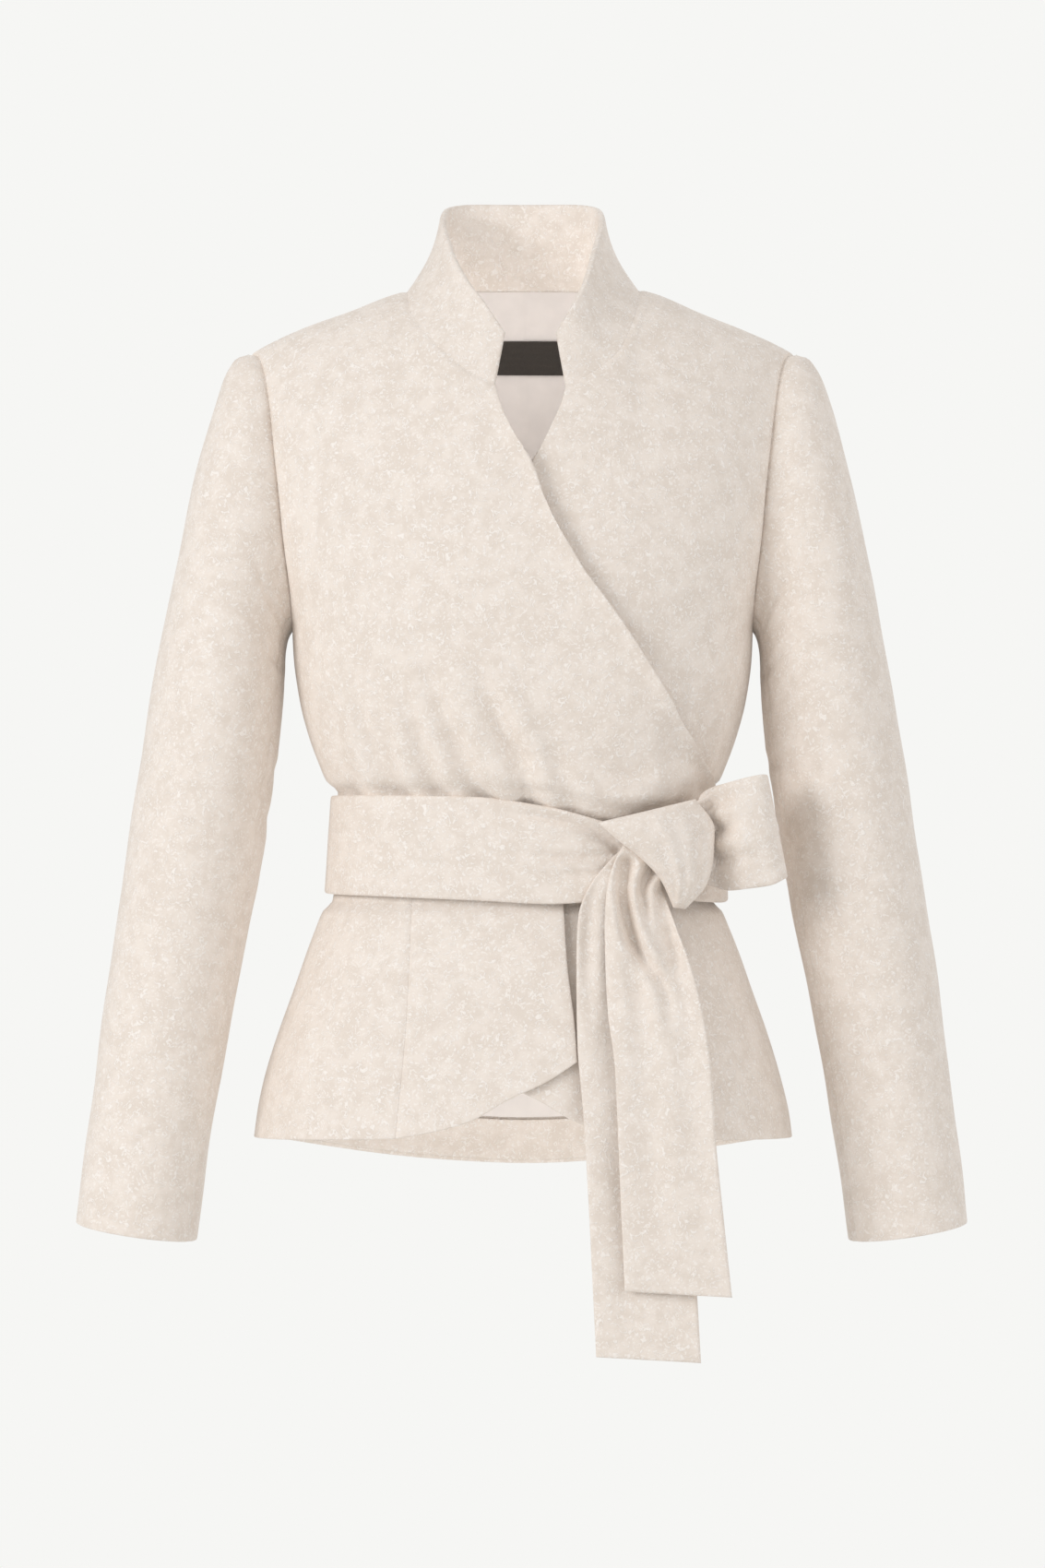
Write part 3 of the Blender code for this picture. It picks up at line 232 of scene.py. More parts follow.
TailRow = namedtuple("TailRow", "height left right y fold")
TAIL_FRONT = records(TailRow,
    (-0.386, 0.069, 0.088, -0.118, 0.0), (-0.398, 0.0625, 0.092, -0.118, 0.0),
    (-0.412, 0.058, 0.094, -0.1174, 0.0), (-0.426, 0.0562, 0.0985, -0.1205, 0.006),
    (-0.445, 0.0555, 0.105, -0.126, 0.0085), (-0.47, 0.056, 0.114, -0.131, 0.007),
    (-0.5, 0.0575, 0.1215, -0.135, 0.005), (-0.535, 0.062, 0.1265, -0.141, 0.003),
    (-0.58, 0.064, 0.1295, -0.1465, 0.0018), (-0.63, 0.066, 0.1345, -0.149, 0.001),
    (-0.686, 0.0685, 0.1405, -0.15, 0.0005))
TAIL_BACK = records(TailRow,
    (-0.39, 0.067, 0.085, -0.113, 0.0), (-0.399, 0.058, 0.087, -0.113, 0.0),
    (-0.41, 0.049, 0.0885, -0.113, 0.0), (-0.422, 0.042, 0.09, -0.113, 0.0008),
    (-0.435, 0.038, 0.092, -0.1145, 0.0015), (-0.455, 0.0367, 0.096, -0.1175, 0.0022),
    (-0.485, 0.0365, 0.101, -0.1225, 0.0022), (-0.52, 0.037, 0.105, -0.1285, 0.002),
    (-0.57, 0.041, 0.109, -0.1385, 0.0015), (-0.62, 0.044, 0.113, -0.1415, 0.001),
    (-0.68, 0.047, 0.117, -0.1425, 0.0008), (-0.731, 0.0495, 0.12, -0.1425, 0.0005))
TAIL_SLANT = 0.0040  # the right corner of a tail hangs this much lower
FOLD_WAVES = 2.2

# ---------------------------------------------------------------- fine cloth
RIM = (0.0, 0.00025, 0.0007, 0.0014)  # close lines along an edge, which carry its rolled rim
ROLL = 0.9  # 1 would bring the two faces of a wall together at its rim
TRIM_REACH = 0.004
EVEN_COLUMNS, EVEN_ROWS, EVENINGS = 5, 7, 30
GROOVE = 0.0015  # how far the cloth dips along a seam
GROOVE_HALF = 0.0022
ALL_FREE, ALL_SEWN = (1, 1, 1, 1), (0, 0, 0, 0)
ARMHOLE_SPAN = 0.024  # length of one coarse row of an armhole
FRONT_SPAN = 0.34
BACK_SHOULDER_SPAN = 0.12
BACK_NECK_SPAN = 0.12
NECK_FRONT_SPAN = 0.11
PEPLUM_FRONT_SPAN = 0.13
PEPLUM_SIDE_SPAN = 0.13
PEPLUM_BACK_SPAN = 0.44
COLLAR_SPAN = 0.06
BELT_SPAN = 0.80
SLEEVE_ARC = math.radians(0.055)  # length of a degree round the arm
SLEEVE_ROW = 0.048  # and of a coarse row along it
SLOW_WAVE = 0.0007
SWELL = 0.35
SWELL_ASIDE = 1.9  # where the swell beside a fold stands, in halves of the fold's width
FOLD_STEPS = 16  # pieces in which a fold's line is followed
FOLD_GROWS, FOLD_FADES = (0, 0.35), (0.45, 1.0)  # as shares of its line
WRAP_FADE = (-0.115, -0.075)  # heights over which the fronts come together
FLUTE_FADE = (-0.600, -0.435)  # heights over which the flutes end under the belt
SPACING = {  # of the fine lines, in grid steps
    "front_left": 1.3,
    "peplum_back": 1.2,
    "hem_facing": 1.4,
    "back_lining": 1.5,
    "sleeves": 1.2,
    "belt_height": 0.85,
    "collar": 0.8,
    "knot": 0.5,
    "loop": 0.8,
    "tails": 0.8,
}
LABEL_STEP = 0.003
SLEEVE_RADIUS = 0.055
SLEEVE_LEAST_SPAN = 0.004
CAP_FADE = (0.03, 0.12)  # how far down from the armhole the sleeve's raised head ends
CAP_FOOT = 0.01

Fold = namedtuple("Fold", "path half depth start")  # path: points of x and height
WAIST_FOLDS = records(Fold,  # the sharp creases of the waist pleats, from the belt up
    (((-0.088, -0.356), (-0.104, -0.316), (-0.116, -0.278), (-0.122, -0.248)), 0.0062, 0.0042, 1.0),
    (((-0.08, -0.356), (-0.09, -0.323), (-0.098, -0.29), (-0.104, -0.262)), 0.005, 0.003, 1.0),
    (((-0.056, -0.356), (-0.065, -0.333), (-0.076, -0.295), (-0.088, -0.252)), 0.0055, 0.0034, 1.0),
    (((-0.025, -0.36), (-0.044, -0.322), (-0.061, -0.28), (-0.076, -0.238)), 0.0068, 0.0048, 1.0),
    (((0.005, -0.364), (0.001, -0.333), (-0.014, -0.304), (-0.04, -0.248)), 0.0072, 0.006, 1.0),
    (((-0.118, -0.356), (-0.125, -0.33), (-0.133, -0.3), (-0.137, -0.276)), 0.0065, 0.0022, 1.0),
    (((0.033, -0.37), (0.03, -0.35), (0.02, -0.32), (0.01, -0.296)), 0.0065, 0.0016, 1.0))
EDGE_PUFF = 0.0046  # how far the right front swells beside its wrap edge
EDGE_PUFF_HALF = 0.0080
BELT_LINE = (  # x and height of the line the front comes down to, along belt and knot
    (-0.0540, -0.3527),
    (-0.0216, -0.3564),
    (0.0097, -0.3608),
    (0.0322, -0.3645),
    (0.0522, -0.3720),
    (0.0640, -0.3735),
    (0.0828, -0.3640),
    (0.1066, -0.3577),
)
BELT_FILL = 0.0085  # how far the front is filled out just above that line
BELT_FILL_RISE = (0.012, 0.036)
BELT_FILL_START, BELT_FILL_END = (-0.060, 0.010), (0.100, 0.125)  # x
BELT_FILL_FOOT = (-0.001, 0.006)
FRONT_FOLDS = records(Fold,  # drag lines below the arms, and above the wearer's left waist
    (((-0.159, -0.233), (-0.145, -0.23), (-0.124, -0.234)), 0.01, 0.001, 0.0),
    (((0.159, -0.234), (0.144, -0.236), (0.122, -0.244)), 0.01, 0.0011, 0.0),
    (((0.118, -0.352), (0.123, -0.326), (0.127, -0.295), (0.129, -0.27)), 0.0065, 0.0022, 1.0),
    (((0.098, -0.35), (0.101, -0.326), (0.106, -0.295), (0.11, -0.256)), 0.0065, 0.0018, 1.0),
    (((0.096, -0.428), (0.101, -0.456), (0.104, -0.49)), 0.007, 0.001, 1.0),
    (((-0.09, -0.428), (-0.096, -0.453), (-0.1, -0.49)), 0.007, 0.0009, 1.0))
BACK_FOLDS = records(Fold,
    (((-0.088, -0.35), (-0.096, -0.32), (-0.101, -0.28)), 0.006, 0.0026, 1.0),
    (((-0.049, -0.35), (-0.056, -0.316), (-0.06, -0.268)), 0.0065, 0.003, 1.0),
    (((-0.01, -0.35), (-0.006, -0.322), (-0.008, -0.286)), 0.006, 0.0022, 1.0),
    (((0.033, -0.35), (0.04, -0.318), (0.042, -0.276)), 0.0065, 0.0028, 1.0),
    (((0.082, -0.35), (0.09, -0.323), (0.098, -0.274)), 0.006, 0.0027, 1.0),
    (((-0.156, -0.215), (-0.138, -0.2), (-0.116, -0.18)), 0.008, 0.0011, 0.8),
    (((0.156, -0.217), (0.14, -0.204), (0.115, -0.186)), 0.008, 0.0011, 0.8),
    (((-0.07, -0.428), (-0.076, -0.46), (-0.08, -0.5)), 0.007, 0.001, 1.0),
    (((0.056, -0.428), (0.062, -0.465), (0.064, -0.51)), 0.007, 0.0011, 1.0))
Flute = namedtuple("Flute", "turn half swell")
FLUTES = records(Flute,
    (-62, 9, 0.0022), (-38, 8, -0.0012), (58, 10, 0.002), (36, 8, -0.0012), (112, 9, 0.0024),
    (131, 8, -0.0022), (152, 10, 0.003), (176, 9, -0.002), (197, 10, 0.0028), (221, 8, -0.0022),
    (243, 10, 0.0026))
SLEEVE_FOLDS = {  # degrees round the arm (0 shoulder, 90 front, 180 body side) and coarse rows down it
    -1: records(Fold,
        (((150, 2.2), (120, 3.2), (95, 3.6)), 0.007, 0.0012, 0.5),
        (((165, 4.0), (135, 4.5), (105, 4.4)), 0.008, 0.0011, 0.5),
        (((185, 7.2), (150, 7.7), (118, 7.6)), 0.0075, 0.0016, 0.5),
        (((190, 8.1), (160, 8.4), (120, 8.6)), 0.007, 0.0014, 0.5),
        (((178, 9.0), (150, 9.3), (128, 9.9)), 0.0075, 0.0012, 0.5),
        (((205, 2.4), (235, 3.3), (250, 4.0)), 0.008, 0.0012, 0.5),
        (((215, 7.6), (245, 8.2), (262, 9.2)), 0.008, 0.0013, 0.5),
        (((300, 1.0), (318, 2.0), (330, 3.4)), 0.009, 0.0009, 0.4),
        (((-60, 1.0), (-42, 2.0), (-30, 3.4)), 0.009, 0.0009, 0.4)),
    1: records(Fold,
        (((152, 2.4), (124, 3.1), (98, 3.9)), 0.007, 0.0012, 0.5),
        (((168, 4.4), (138, 4.7), (100, 5.2)), 0.008, 0.0012, 0.5),
        (((182, 7.0), (148, 7.3), (112, 7.9)), 0.0075, 0.0015, 0.5),
        (((188, 8.3), (156, 8.6), (124, 8.5)), 0.007, 0.0013, 0.5),
        (((176, 9.3), (148, 9.8), (122, 10.0)), 0.0075, 0.0011, 0.5),
        (((208, 2.6), (232, 3.1), (254, 3.9)), 0.008, 0.0012, 0.5),
        (((212, 7.4), (243, 8.0), (264, 8.8)), 0.008, 0.0013, 0.5),
        (((-62, 1.2), (-45, 2.2), (-28, 3.2)), 0.009, 0.0009, 0.4)),
}
BELT_FOLDS = records(Fold,  # the band draws together towards the knot
    (((0.066, -0.39), (0.052, -0.38), (0.028, -0.371), (0.0, -0.367), (-0.03, -0.366)), 0.003, 0.0036,
     1.0),
    (((0.066, -0.394), (0.045, -0.396), (0.016, -0.395), (-0.02, -0.39)), 0.0034, 0.003, 1.0),
    (((0.062, -0.402), (0.04, -0.408), (0.006, -0.409)), 0.0035, 0.0018, 1.0),
    (((-0.12, -0.386), (-0.08, -0.39), (-0.04, -0.386)), 0.007, 0.0009, 0.3),
    (((-0.1, -0.408), (-0.05, -0.406), (-0.01, -0.403)), 0.006, 0.0008, 0.3))
BELT_BACK_FOLDS = records(Fold,
    (((-0.118, -0.38), (-0.06, -0.384), (0.01, -0.381)), 0.0055, 0.0007, 0.3),
    (((0.118, -0.396), (0.05, -0.4), (-0.03, -0.397)), 0.0055, 0.0007, 0.3))
Ply = namedtuple("Ply", "foot head half depth bow")
KNOT_FOLDS = records(Ply,  # creases of the wrap, as shares across it at its foot and its head
    (0.18, 0.4, 0.08, 0.0012, 0.04), (0.48, 0.66, 0.075, 0.0014, -0.03), (0.78, 0.86, 0.06, 0.003, 0.02))
LOOP_REACH = 0.0030  # the soft loop reaches this much further over the sleeve
LoopFold = namedtuple("LoopFold", "foot head half depth reach")
LOOP_FOLDS = records(LoopFold,  # gathers where the loop is drawn in by the knot, as shares up it
    (0.34, 0.22, 0.08, 0.0036, 4.6), (0.6, 0.64, 0.075, 0.0046, 4.0), (0.84, 0.92, 0.06, 0.0032, 3.8))
TAIL_FRONT_FOLDS = records(Fold,
    (((0.07, -0.4), (0.068, -0.42), (0.076, -0.452), (0.096, -0.488), (0.101, -0.53)), 0.0042, 0.0085,
     1.0),
    (((0.088, -0.403), (0.081, -0.418), (0.083, -0.436), (0.09, -0.46)), 0.0036, 0.007, 1.0),
    (((0.096, -0.418), (0.101, -0.445), (0.108, -0.48)), 0.0045, 0.0045, 1.0),
    (((0.056, -0.44), (0.058, -0.48), (0.062, -0.53)), 0.007, 0.004, 0.6),
    (((0.07, -0.56), (0.086, -0.59), (0.092, -0.64)), 0.01, 0.0018, 0.2))
TAIL_BACK_FOLDS = records(Fold,
    (((0.052, -0.408), (0.046, -0.43), (0.044, -0.47), (0.046, -0.52)), 0.005, 0.0036, 0.9),
    (((0.06, -0.57), (0.066, -0.62), (0.064, -0.67)), 0.01, 0.0016, 0.2))
PLEAT_X = 0.0020
PLEAT_STAND = 0.0010
PLEAT_STEP_HALF, PLEAT_REACH = 0.0012, 0.03
FACING_SEAM_X = -0.0295
FACING_SEAM_DEPTH = 0.0007
FACING_SEAM_HALF = 0.0012

# ---------------------------------------------------------------- studio
CAMERA_AWAY = 3.0
CAMERA_HEIGHT = -0.3458
Lamp = namedtuple("Lamp", "name power share size place aim")  # share of that power
LAMPS = records(Lamp,
    ("key", "key_power", 1.0, 1.2, (-2.3, -1.9, 0.45), (0, 0, -0.3)),
    ("fill", "key_power", 0.55, 2.6, (2.2, -1.8, 0.5), (0, 0, -0.4)),
    ("rim", "key_power", 0.75, 2.4, (0.7, 2.7, 0.9), (0, 0, -0.35)),
    ("neck_glow", "inner_power", 1.0, 0.12, (0.0, -0.020, -0.060), (0.0, 0.080, -0.065)),
    ("hem_glow", "inner_power", 1.5, 0.20, (0.0, -0.010, -0.600), (0.0, 0.130, -0.590)))


# ---------------------------------------------------------------- smooth curves through tables
def column(rows, name):
    return np.array([getattr(row, name) for row in rows], float)


def calm_slopes(rises):
    """Slopes at the keys, level wherever the values turn back."""
    same_way = rises[1:] * rises[:-1] > 0
    safe = np.where(same_way, rises[1:] + rises[:-1], 1.0)
    inner = np.where(same_way, 2 * rises[1:] * rises[:-1] / safe, 0.0)
    return np.concatenate([rises[:1], inner, rises[-1:]])


def between(values, slopes, k, s, gap=1.0):
    """The curve at share s of the way from key k to the next one, a gap further on."""
    start = (1 + 2 * s) * (1 - s) ** 2 * values[k] + s * (1 - s) ** 2 * gap * slopes[k]
    return start + (s * s * (3 - 2 * s) * values[k + 1] - s * s * (1 - s) * gap * slopes[k + 1])


def smooth(keys, values, at):
    """A curve through the values that never overshoots them."""
    keys, values = np.asarray(keys, float), np.asarray(values, float)
    if keys[0] > keys[-1]:
        keys, values = keys[::-1], values[::-1]
    gaps = np.diff(keys)
    at = np.clip(np.asarray(at, float), keys[0], keys[-1])
    k = np.clip(np.searchsorted(keys, at) - 1, 0, len(gaps) - 1)
    return between(values, calm_slopes(np.diff(values) / gaps), k, (at - keys[k]) / gaps[k], gaps[k])


def ease(low, high, at):
    s = np.clip((np.asarray(at, float) - low) / (high - low), 0, 1)
    return s * s * (3 - 2 * s)


def shares(count):
    return np.linspace(0, 1, count + 1)


def along(points, at):
    """Points at these shares of the length of a line of points."""
    points = np.asarray(points, float)
    run = run_along(points)
    return np.stack([smooth(run / run[-1], points[:, k], at) for k in range(points.shape[1])], -1)


# ---------------------------------------------------------------- the body form
def ring_share(turn):
    """Sideways and forward share of a ring's half-width and depth."""
    side, ahead = np.sin(np.radians(turn)), np.cos(np.radians(turn))
    reach = (np.abs(side) ** SQUARENESS + np.abs(ahead) ** SQUARENESS) ** (1 / SQUARENESS)
    return side / reach, ahead / reach


def body_half(height):
    return smooth(column(BODY, "height"), column(BODY, "half_width"), height)


def shoulder_half(rise):
    """Half-width at this share of the way from the underarm up to the shoulder ridge."""
    low = BODY[-1].half_width
    return low + (SHOULDER_HALF - low) * np.sin(np.clip(rise, 0, 1) * math.pi / 2)


def ridge(x):
    return smooth(column(RIDGE, "x"), column(RIDGE, "height"), np.abs(x))


def form(turn, level):
    """The point of the body form at a turn and a level."""
    turn, level = np.broadcast_arrays(np.asarray(turn, float), np.asarray(level, float))
    side, ahead = ring_share(turn)
    front = ahead >= 0
    low_z = UNDERARM + (np.minimum(level, 1) - 1) * LEVEL_SPAN
    heights = column(BODY, "height")
    depth_front = smooth(heights, column(BODY, "front"), low_z)
    depth_back = smooth(heights, column(BODY, "back"), low_z)
    depth = np.where(front, depth_front, depth_back)
    over = (np.maximum(level, 1) - 1) * math.pi / 2
    fall = np.where(front, FRONT_FALL, BACK_FALL)
    rise = np.abs(np.sin(over)) ** (2 / fall)
    half = np.where(level > 1, shoulder_half(rise), body_half(low_z))
    x = half * side
    z = np.where(level > 1, UNDERARM + (ridge(x) - UNDERARM) * rise, low_z)
    y = -depth * ahead * np.where(level > 1, np.cos(over), 1.0)
    return np.stack([x, y, z], -1)


def outward(turn, level):
    """The outward normal, level below the underarm so that cloth there is thickened sideways.

    It is read just inside the shoulder tip, where the form comes to a point.
    """
    step_turn, step_level = 0.05, 0.0005
    turn = (turn + 90) % 360 - 90
    shy = TIP_SHY * ease(1.8, 2.0, level)
    turn = np.where(turn <= 90, np.clip(turn, shy - 90, 90 - shy), np.clip(turn, 90 + shy, 270 - shy))
    level = np.minimum(level, 1.995)
    across = form(turn + step_turn, level) - form(turn - step_turn, level)
    up = form(turn, level + step_level) - form(turn, level - step_level)
    normal = unit(np.cross(across, up) * 1e6)
    return unit(normal * np.stack([np.ones_like(level), np.ones_like(level), level > 1], -1))


def on_form(turn, level, lift=0.0):
    turn, level = np.broadcast_arrays(np.asarray(turn, float), np.asarray(level, float))
    return form(turn, level) + outward(turn, level) * np.asarray(lift, float)[..., None]


def place(x, height, back=False):
    """The turn and level of a point given by its x and height, on the front or the back."""
    x, height = np.broadcast_arrays(np.asarray(x, float), np.asarray(height, float))
    rise = np.clip((height - UNDERARM) / (ridge(x) - UNDERARM), 0, 1)
    fall = BACK_FALL if back else FRONT_FALL
    high_level = 1 + np.arcsin(rise ** (fall / 2)) / (math.pi / 2)
    level = np.where(height > UNDERARM, high_level, 1 + (height - UNDERARM) / LEVEL_SPAN)
    half = np.where(height > UNDERARM, shoulder_half(rise), body_half(height))
    side = np.clip(np.abs(x) / half, 0, 1)
    ahead = (1 - side**SQUARENESS) ** (1 / SQUARENESS)
    turn = np.sign(x) * np.degrees(np.arctan2(side, ahead))
    return np.stack([180 - turn if back else turn, level], -1)


def level_at(height):
    return 1 + (height - UNDERARM) / LEVEL_SPAN


# ---------------------------------------------------------------- edges, as turns and levels
def neck_pull(height):
    return NECK_PULL * ease(*PULL_LEVELS, height)


def marks(rows, side, pulled=True):
    """A table of marks on one side (1 the wearer's left) as points of x and height."""
    x, height = column(rows, "x") * side, column(rows, "height")
    if pulled:
        x = x + neck_pull(height) * (1 - ease(0.06, 0.0825, np.abs(x)))
    return np.stack([x, height], -1)


def edge(rows, side, at, back=False, pulled=True):
    points = along(marks(rows, side, pulled), at)
    return place(points[:, 0], points[:, 1], back)


def armhole(side, face, at):
    """Shares 0 at the underarm to 1 at the shoulder tip; face 1 is the front, -1 the back."""
    at = np.asarray(at, float)
    swing = np.sin(math.pi * at).clip(0) ** 0.8 * ARMHOLE_REACH[face]
    turn = 90 - swing if face > 0 else 90 + swing
    level = 1.5 - 0.5 * np.cos(math.pi * at)
    return np.stack([turn * side, level], -1)


def rows_above(cinch, top, count):
    """The cinch's heights, then even ones up to but not including the top; count in all."""
    rest = np.linspace(cinch[-1], top, count - len(cinch) + 2)[1:-1]
    return np.concatenate([cinch, rest])


def edge_at(rows, side, heights, pulled=True):
    """An edge read at given heights."""
    points = marks(rows, side, pulled)
    x = smooth(points[:, 1], points[:, 0], heights)
    return place(x, heights)


def shoulder(side, at, face=1):
    """Along the shoulder ridge, from the neck to the tip."""
    neck_side = NECK_FRONT[-1].x / SHOULDER_HALF
    neck_turn = math.degrees(math.atan2(neck_side, (1 - neck_side**SQUARENESS) ** (1 / SQUARENESS)))
    turns = neck_turn + (90 - neck_turn) * np.asarray(at, float)
    if face < 0:
        turns = 180 - turns
    return np.stack([turns * side, np.full(len(turns), 2.0)], -1)


def share_of(values):
    return (values - values[0]) / (values[-1] - values[0])


# ---------------------------------------------------------------- how far cloth stands off the form
def wrap_lift(points, side):
    """The two fronts lie one over the other; side -1 is the right front, on top."""
    spread = WRAP_EDGE[-1].x
    share = np.clip(0.5 - 0.5 * points[..., 0] / spread, 0, 1)
    fade = 1 - ease(*WRAP_FADE, points[..., 2])
    lift = share if side < 0 else share - 1
    return WRAP_RISE * lift * fade


def blouse_lift(points):
    """Where the belt slopes down to the knot, the front stays full as far down as its upper edge."""
    x, height = points[..., 0], points[..., 2]
    share = ease(*BELT_SLOPE_RUN, x) * (1 - ease(*BELT_SLOPE_END, x))
    drop = BELT_SLOPE * share * ease(WAIST, WAIST + BELT_SLOPE, height)
    heights, depths = column(BODY, "height"), column(BODY, "front")
    fuller = smooth(heights, depths, height + drop) - smooth(heights, depths, height)
    return fuller * (points[..., 1] < 0)


def pleat_lift(points):
    total = np.zeros(points.shape[:-1])
    for pleat in PLEATS:
        rise = pleat.head_height - pleat.foot_height
        s = (points[..., 2] - pleat.foot_height) / rise
        line = pleat.foot_x + (pleat.head_x - pleat.foot_x) * s
        off = (points[..., 0] - line) / PLEAT_HALF
        fade = ease(-0.04, 0.2, s) * (1 - ease(0.25, 1.0, s))
        ridge_beside = np.exp(-((off - RIDGE_ASIDE) ** 2))
        total = total + pleat.depth * fade * (ridge_beside - TROUGH_SHARE * np.exp(-(off**2)))
    return total


# ---------------------------------------------------------------- close lines along edges
def read(values, at):
    """A table of points read at fractional row numbers, on a curve that never overshoots them."""
    values, at = np.asarray(values, float), np.asarray(at, float)
    rises = np.diff(values, axis=0)
    k = np.clip(at.astype(int), 0, len(rises) - 1)
    s = (at - k).reshape([-1] + [1] * (values.ndim - 1))
    return between(values, calm_slopes(rises), k, s)


def lines(spans, step):
    """Fractional row numbers about a step apart over these spans, and closer at both rims."""
    parts = [np.linspace(k, k + 1, max(1, round(span / step)) + 1)[:-1] for k, span in enumerate(spans)]
    even = np.concatenate(parts + [[len(spans)]])
    low, high = RIM[-1] * 1.6 / spans[0], len(spans) - RIM[-1] * 1.6 / spans[-1]
    even = even[(even > low) & (even < high)]
    near, far = np.array(RIM) / spans[0], len(spans) - np.array(RIM)[::-1] / spans[-1]
    return np.concatenate([near, even, far])


def lines_across(length, step):
    """The same over one span, as shares of it."""
    return lines([length], step)


# ---------------------------------------------------------------- folds
def fold_lift(points, folds):
    """Soft troughs along drawn lines, each with a low swell on both sides."""
    total = np.zeros(points.shape[:-1])
    flat = points[..., [0, 2]]
    for fold in folds:
        line = along(fold.path, shares(FOLD_STEPS))
        nearest, where = np.full(total.shape, 9.0), np.zeros(total.shape)
        for k, (a, b) in enumerate(zip(line[:-1], line[1:])):
            run = b - a
            s = np.clip(((flat - a) @ run) / (run @ run), 0, 1)
            gap = np.linalg.norm(flat - a - s[..., None] * run, axis=-1)
            closer = gap < nearest
            nearest = np.where(closer, gap, nearest)
            where = np.where(closer, (k + s) / FOLD_STEPS, where)
        off = nearest / fold.half
        grown = fold.start + (1 - fold.start) * ease(*FOLD_GROWS, where)
        fade = grown * (1 - ease(*FOLD_FADES, where))
        swell = SWELL * np.exp(-((off - SWELL_ASIDE) ** 2))
        total = total + fold.depth * fade * (swell - np.exp(-(off**2)))
    return total


def belt_fill(points):
    """The front comes down full on to the belt and the knot."""
    x, height = points[..., 0], points[..., 2]
    places, heights = np.array(BELT_LINE).T
    above = height - np.interp(x, places, heights)
    share = ease(*BELT_FILL_START, x) * (1 - ease(*BELT_FILL_END, x)) * ease(*BELT_FILL_FOOT, above)
    return BELT_FILL * share * (1 - ease(*BELT_FILL_RISE, above)) * (points[..., 1] < 0)


def slow_waves(points):
    """Shallow unevenness of wool on a body, the same for every layer at a place."""
    x, y, z = points[..., 0], points[..., 1], points[..., 2]
    turn = 2 * math.pi
    one = np.sin(turn * (5.3 * x + 3.1 * z) + 1.3) * np.sin(turn * (4.6 * z - 2.2 * x) + 0.4)
    two = np.sin(turn * (9.1 * x - 6.4 * z) + 2.1 + 7 * y) * np.sin(turn * (7.7 * z + 3.0 * x) + 5.0)
    return SLOW_WAVE * (one + 0.55 * two)


def flutes(points):
    """The peplum's soft flutes, from nothing under the belt to their full depth at the hem."""
    turn = np.degrees(np.arctan2(points[..., 0], -points[..., 1])) % 360
    grown = 1 - ease(*FLUTE_FADE, points[..., 2])
    total = np.zeros(points.shape[:-1])
    for flute in FLUTES:
        away = (turn - flute.turn + 180) % 360 - 180
        total = total + flute.swell * np.exp(-((away / flute.half) ** 2))
    return total * grown


def body_lift(points):
    """What every layer on the body follows: slow waves, side folds and flutes."""
    front = points[..., 1] < 0
    folds = np.where(front, fold_lift(points, FRONT_FOLDS), fold_lift(points, BACK_FOLDS))
    return slow_waves(points) + folds + flutes(points)


# ---------------------------------------------------------------- making pieces
def unit(vectors):
    return vectors / np.maximum(np.linalg.norm(vectors, axis=-1, keepdims=True), 1e-9)


def normals(points):
    across, up = np.gradient(points, axis=1), np.gradient(points, axis=0)
    return unit(np.cross(across, up) * 1e6)


def inside(points, thickness):
    return points - normals(points) * thickness


def run_along(rows):
    """How far each point lies from the first row, measured along its own line of points."""
    steps = np.linalg.norm(np.diff(rows, axis=0), axis=-1)
    return np.concatenate([np.zeros((1,) + steps.shape[1:]), np.cumsum(steps, axis=0)])


def trimmed(points, ends, sides):
    """A grid drawn in by these amounts at its first and last row, and first and last column."""
    points = points.copy()
    for axis, cut in ((0, ends), (1, sides)):
        lines_of = np.moveaxis(points, axis, 0)
        reach = run_along(lines_of)
        first = unit(lines_of[len(RIM)] - lines_of[0]) * cut
        last = unit(lines_of[-1 - len(RIM)] - lines_of[-1]) * cut
        near = np.clip(1 - reach / TRIM_REACH, 0, 1)[..., None]
        far = np.clip(1 - (reach[-1] - reach) / TRIM_REACH, 0, 1)[..., None]
        lines_of += near * first + far * last
    return points


def edge_distances(points):
    """How far each point of a grid lies from its bottom, top, first and last edge."""
    found = []
    for axis in (0, 1):
        run = run_along(np.moveaxis(points, axis, 0))
        found += [np.moveaxis(run, 0, axis), np.moveaxis(run[-1] - run, 0, axis)]
    return found


def rolled(outer, inner, free):
    """The two faces of a wall curve towards each other at its free edges."""
    half = np.maximum(np.linalg.norm(outer - inner, axis=-1) / 2, 1e-6)
    share = np.zeros(half.shape)
    for distance, loose in zip(edge_distances(outer), free):
        short = np.clip(1 - distance / half, 0, 1)
        share = np.maximum(share, ROLL * 0.5 * loose * (1 - np.sqrt(1 - short**2)))
    share = share[..., None]
    return outer + (inner - outer) * share, inner + (outer - inner) * share


def seam_groove(points, free):
    """How far the cloth is drawn down along its sewn edges."""
    depth = np.zeros(points.shape[:-1])
    for distance, loose in zip(edge_distances(points), free):
        depth = np.maximum(depth, (1 - loose) * GROOVE * np.exp(-((distance / GROOVE_HALF) ** 2)))
    return depth


